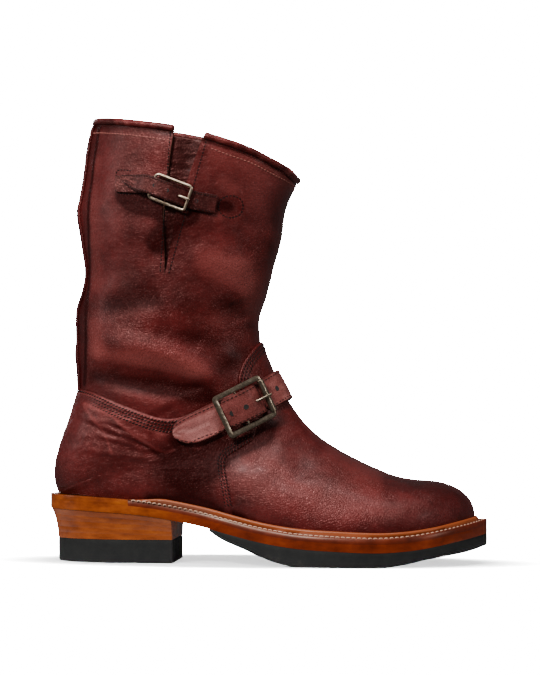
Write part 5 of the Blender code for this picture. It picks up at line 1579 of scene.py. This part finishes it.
def make_studio():
    """White room: a floor that fades into a white background, leaving a greyer patch round the boot as a
    painted soft shadow, and soft lamps above the boot.
    """
    mesh = bpy.data.meshes.new("floor")
    reach = FLOOR_REACH
    mesh.from_pydata([(-reach, -reach, 0), (reach, -reach, 0), (reach, reach, 0), (-reach, reach, 0)], [],
                     [(0, 1, 2, 3)])
    material = plain("floor_white", (0.92, 0.92, 0.92), 0.8)
    n = Nodes(material)
    distance = n.add("ShaderNodeVectorMath", {"Vector": n.position((0.33, 1.0, 1.0))},
                     operation="LENGTH").outputs["Value"]
    # Opaque only near the boot: a painted soft shadow shaped by distance, on which the real cast shadow also
    # falls.
    near = n.add("ShaderNodeMapRange", {
        "Value": distance, "From Min": FLOOR_FADE[0], "From Max": FLOOR_FADE[1], "To Min": 0.98,
        "To Max": 0.0}, interpolation_type="SMOOTHERSTEP").outputs["Result"]
    n.out(Alpha=near)
    mesh.materials.append(material)
    floor = bpy.data.objects.new("floor", mesh)
    floor.location.z = -0.0002
    bpy.context.scene.collection.objects.link(floor)
    world = bpy.data.worlds.new("studio")
    world.use_nodes = True
    tree = world.node_tree
    background = tree.nodes["Background"]
    background.inputs["Color"].default_value = (1.0, 1.0, 1.0, 1.0)
    path = tree.nodes.new("ShaderNodeLightPath")
    strength = tree.nodes.new("ShaderNodeMapRange")
    tree.links.new(path.outputs["Is Camera Ray"], strength.inputs["Value"])
    strength.inputs["To Min"].default_value = ROOM_LIGHT
    strength.inputs["To Max"].default_value = BACKGROUND_LIGHT
    tree.links.new(strength.outputs["Result"], background.inputs["Strength"])
    bpy.context.scene.world = world
    centre = (0.0, 0.0, 0.14)
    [area_light(name, place, centre, size, power) for name, place, size, power in LAMPS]


ROOM_LIGHT = 0.13
BACKGROUND_LIGHT = 60.0
LAMPS = (
    ("key", (-0.65, -1.25, 1.15), (0.30, 0.25), 46.0),
    ("top", (0.10, -0.45, 1.5), (0.6, 0.4), 16.0),
    ("side", (1.3, -0.8, 0.6), (0.35, 0.5), 8.0),
    ("left", (-1.4, -0.5, 0.5), (0.3, 0.6), 6.0),
    ("back", (-0.7, 1.3, 0.60), (0.8, 0.4), 2.5),
)


def make_camera():
    data = bpy.data.cameras.new("camera")
    data.sensor_width = SENSOR
    data.sensor_fit = "AUTO"
    data.lens = SENSOR * VIEW_DISTANCE / (PHOTO_HEIGHT * MM_PER_PIXEL)
    data.clip_start, data.clip_end = 0.05, 30.0
    camera = bpy.data.objects.new("camera", data)
    turn = math.radians(VIEW_TURN)
    centre = Vector(VIEW_CENTRE)
    camera.location = centre + Vector((math.sin(turn), -math.cos(turn), 0.0)) * VIEW_DISTANCE
    camera.rotation_euler = (centre - camera.location).to_track_quat("-Z", "Y").to_euler()
    bpy.context.scene.collection.objects.link(camera)
    bpy.context.scene.camera = camera


def main():
    upper = leather("oxblood_leather", (0.019, 0.0012, 0.0011), (0.042, 0.0030, 0.0029),
                    (0.077, 0.0060, 0.0058), (0.18, 0.040, 0.035))
    strap = leather("strap_leather", (0.052, 0.0072, 0.0060), (0.145, 0.033, 0.029), (0.30, 0.105, 0.092),
                    (0.40, 0.17, 0.155), 0.46, 0.05)
    # A darker copy of the oxblood leather, for the collar strap and the gusset; on the gusset, recessed in
    # the slit, its darkness is painted shade.
    dark = leather("dark_leather", (0.010, 0.0007, 0.0006), (0.021, 0.0016, 0.0013), (0.042, 0.0044, 0.0037),
                   (0.15, 0.040, 0.034), 0.34)
    lining = leather("lining_leather", (0.05, 0.018, 0.010), (0.11, 0.045, 0.026), (0.18, 0.09, 0.055),
                     (0.2, 0.1, 0.06), 0.75, 0.0)
    heel = ((0.095, 0.015, 0.0012), (0.175, 0.033, 0.0024), (0.25, 0.056, 0.0045))
    stack = layered_leather("stacked_leather", *heel, heel[2], 5.0, 0.38, 0.10)
    edge = layered_leather("sole_edge_leather", (0.052, 0.0048, 0.0004), (0.105, 0.0110, 0.0007),
                           (0.16, 0.0210, 0.0012), (0.32, 0.080, 0.011), 2.0, 0.30, 0.0, heel)
    rim = layered_leather("welt_leather", (0.038, 0.0036, 0.0010), (0.078, 0.0086, 0.0022),
                          (0.12, 0.0170, 0.0042), (0.24, 0.052, 0.013), 2.0, 0.34, 0.0)
    black = rubber("black_rubber")
    steel = aged_metal("aged_steel", (0.58, 0.46, 0.35), (0.36, 0.27, 0.19), (0.10, 0.060, 0.038), 0.32)
    brass = aged_metal("aged_brass", (0.36, 0.29, 0.215), (0.17, 0.130, 0.092), (0.035, 0.027, 0.019), 0.36)
    dark_thread = thread("dark_thread", (0.0050, 0.0012, 0.0010))
    pale_thread = thread("pale_thread", (0.30, 0.105, 0.085))
    cream_thread = thread("cream_thread", (0.62, 0.38, 0.26))
    hole = plain("hole_shadow", (0.006, 0.003, 0.002), 0.9)
    make_shaft(upper, lining)
    make_vamp(upper)
    make_counter(upper)
    make_backstay(upper)
    make_binding(upper)
    make_gusset(dark)
    make_sole(lining, edge, black)
    make_heel(stack, edge, black)
    make_welt(rim)
    top = make_top_strap(dark, steel)
    ankle = make_ankle_strap(strap, brass)
    make_stitches(dark_thread, pale_thread, cream_thread)
    strap_stitches("stitches_collar_strap", top, TOP_STRAP_LIFT, TOP_STRAP_THICKNESS, TOP_STRAP_FIT,
                   TOP_STRAP_TIP, 0.17, dark_thread, 0.0022, 0.05, 0.99)
    strap_stitches("stitches_ankle_strap", ankle, ANKLE_STRAP_LIFT, ANKLE_STRAP_THICKNESS, ANKLE_STRAP_FIT,
                   ANKLE_STRAP_TIP, 0.16, dark_thread, 0.0030, 0.03, 0.86)
    strap_holes("holes_ankle_strap", ankle, ANKLE_STRAP_LIFT, ANKLE_STRAP_THICKNESS,
                ((0.375, 0.0), (0.420, 0.0), (0.575, 0.0)), 0.0015, hole)
    strap_holes("holes_collar_strap", top, TOP_STRAP_LIFT, TOP_STRAP_THICKNESS,
                ((0.545, 0.1), (0.62, 0.1), (0.80, 0.0)), 0.0010, hole)
    make_studio()
    make_camera()


main()
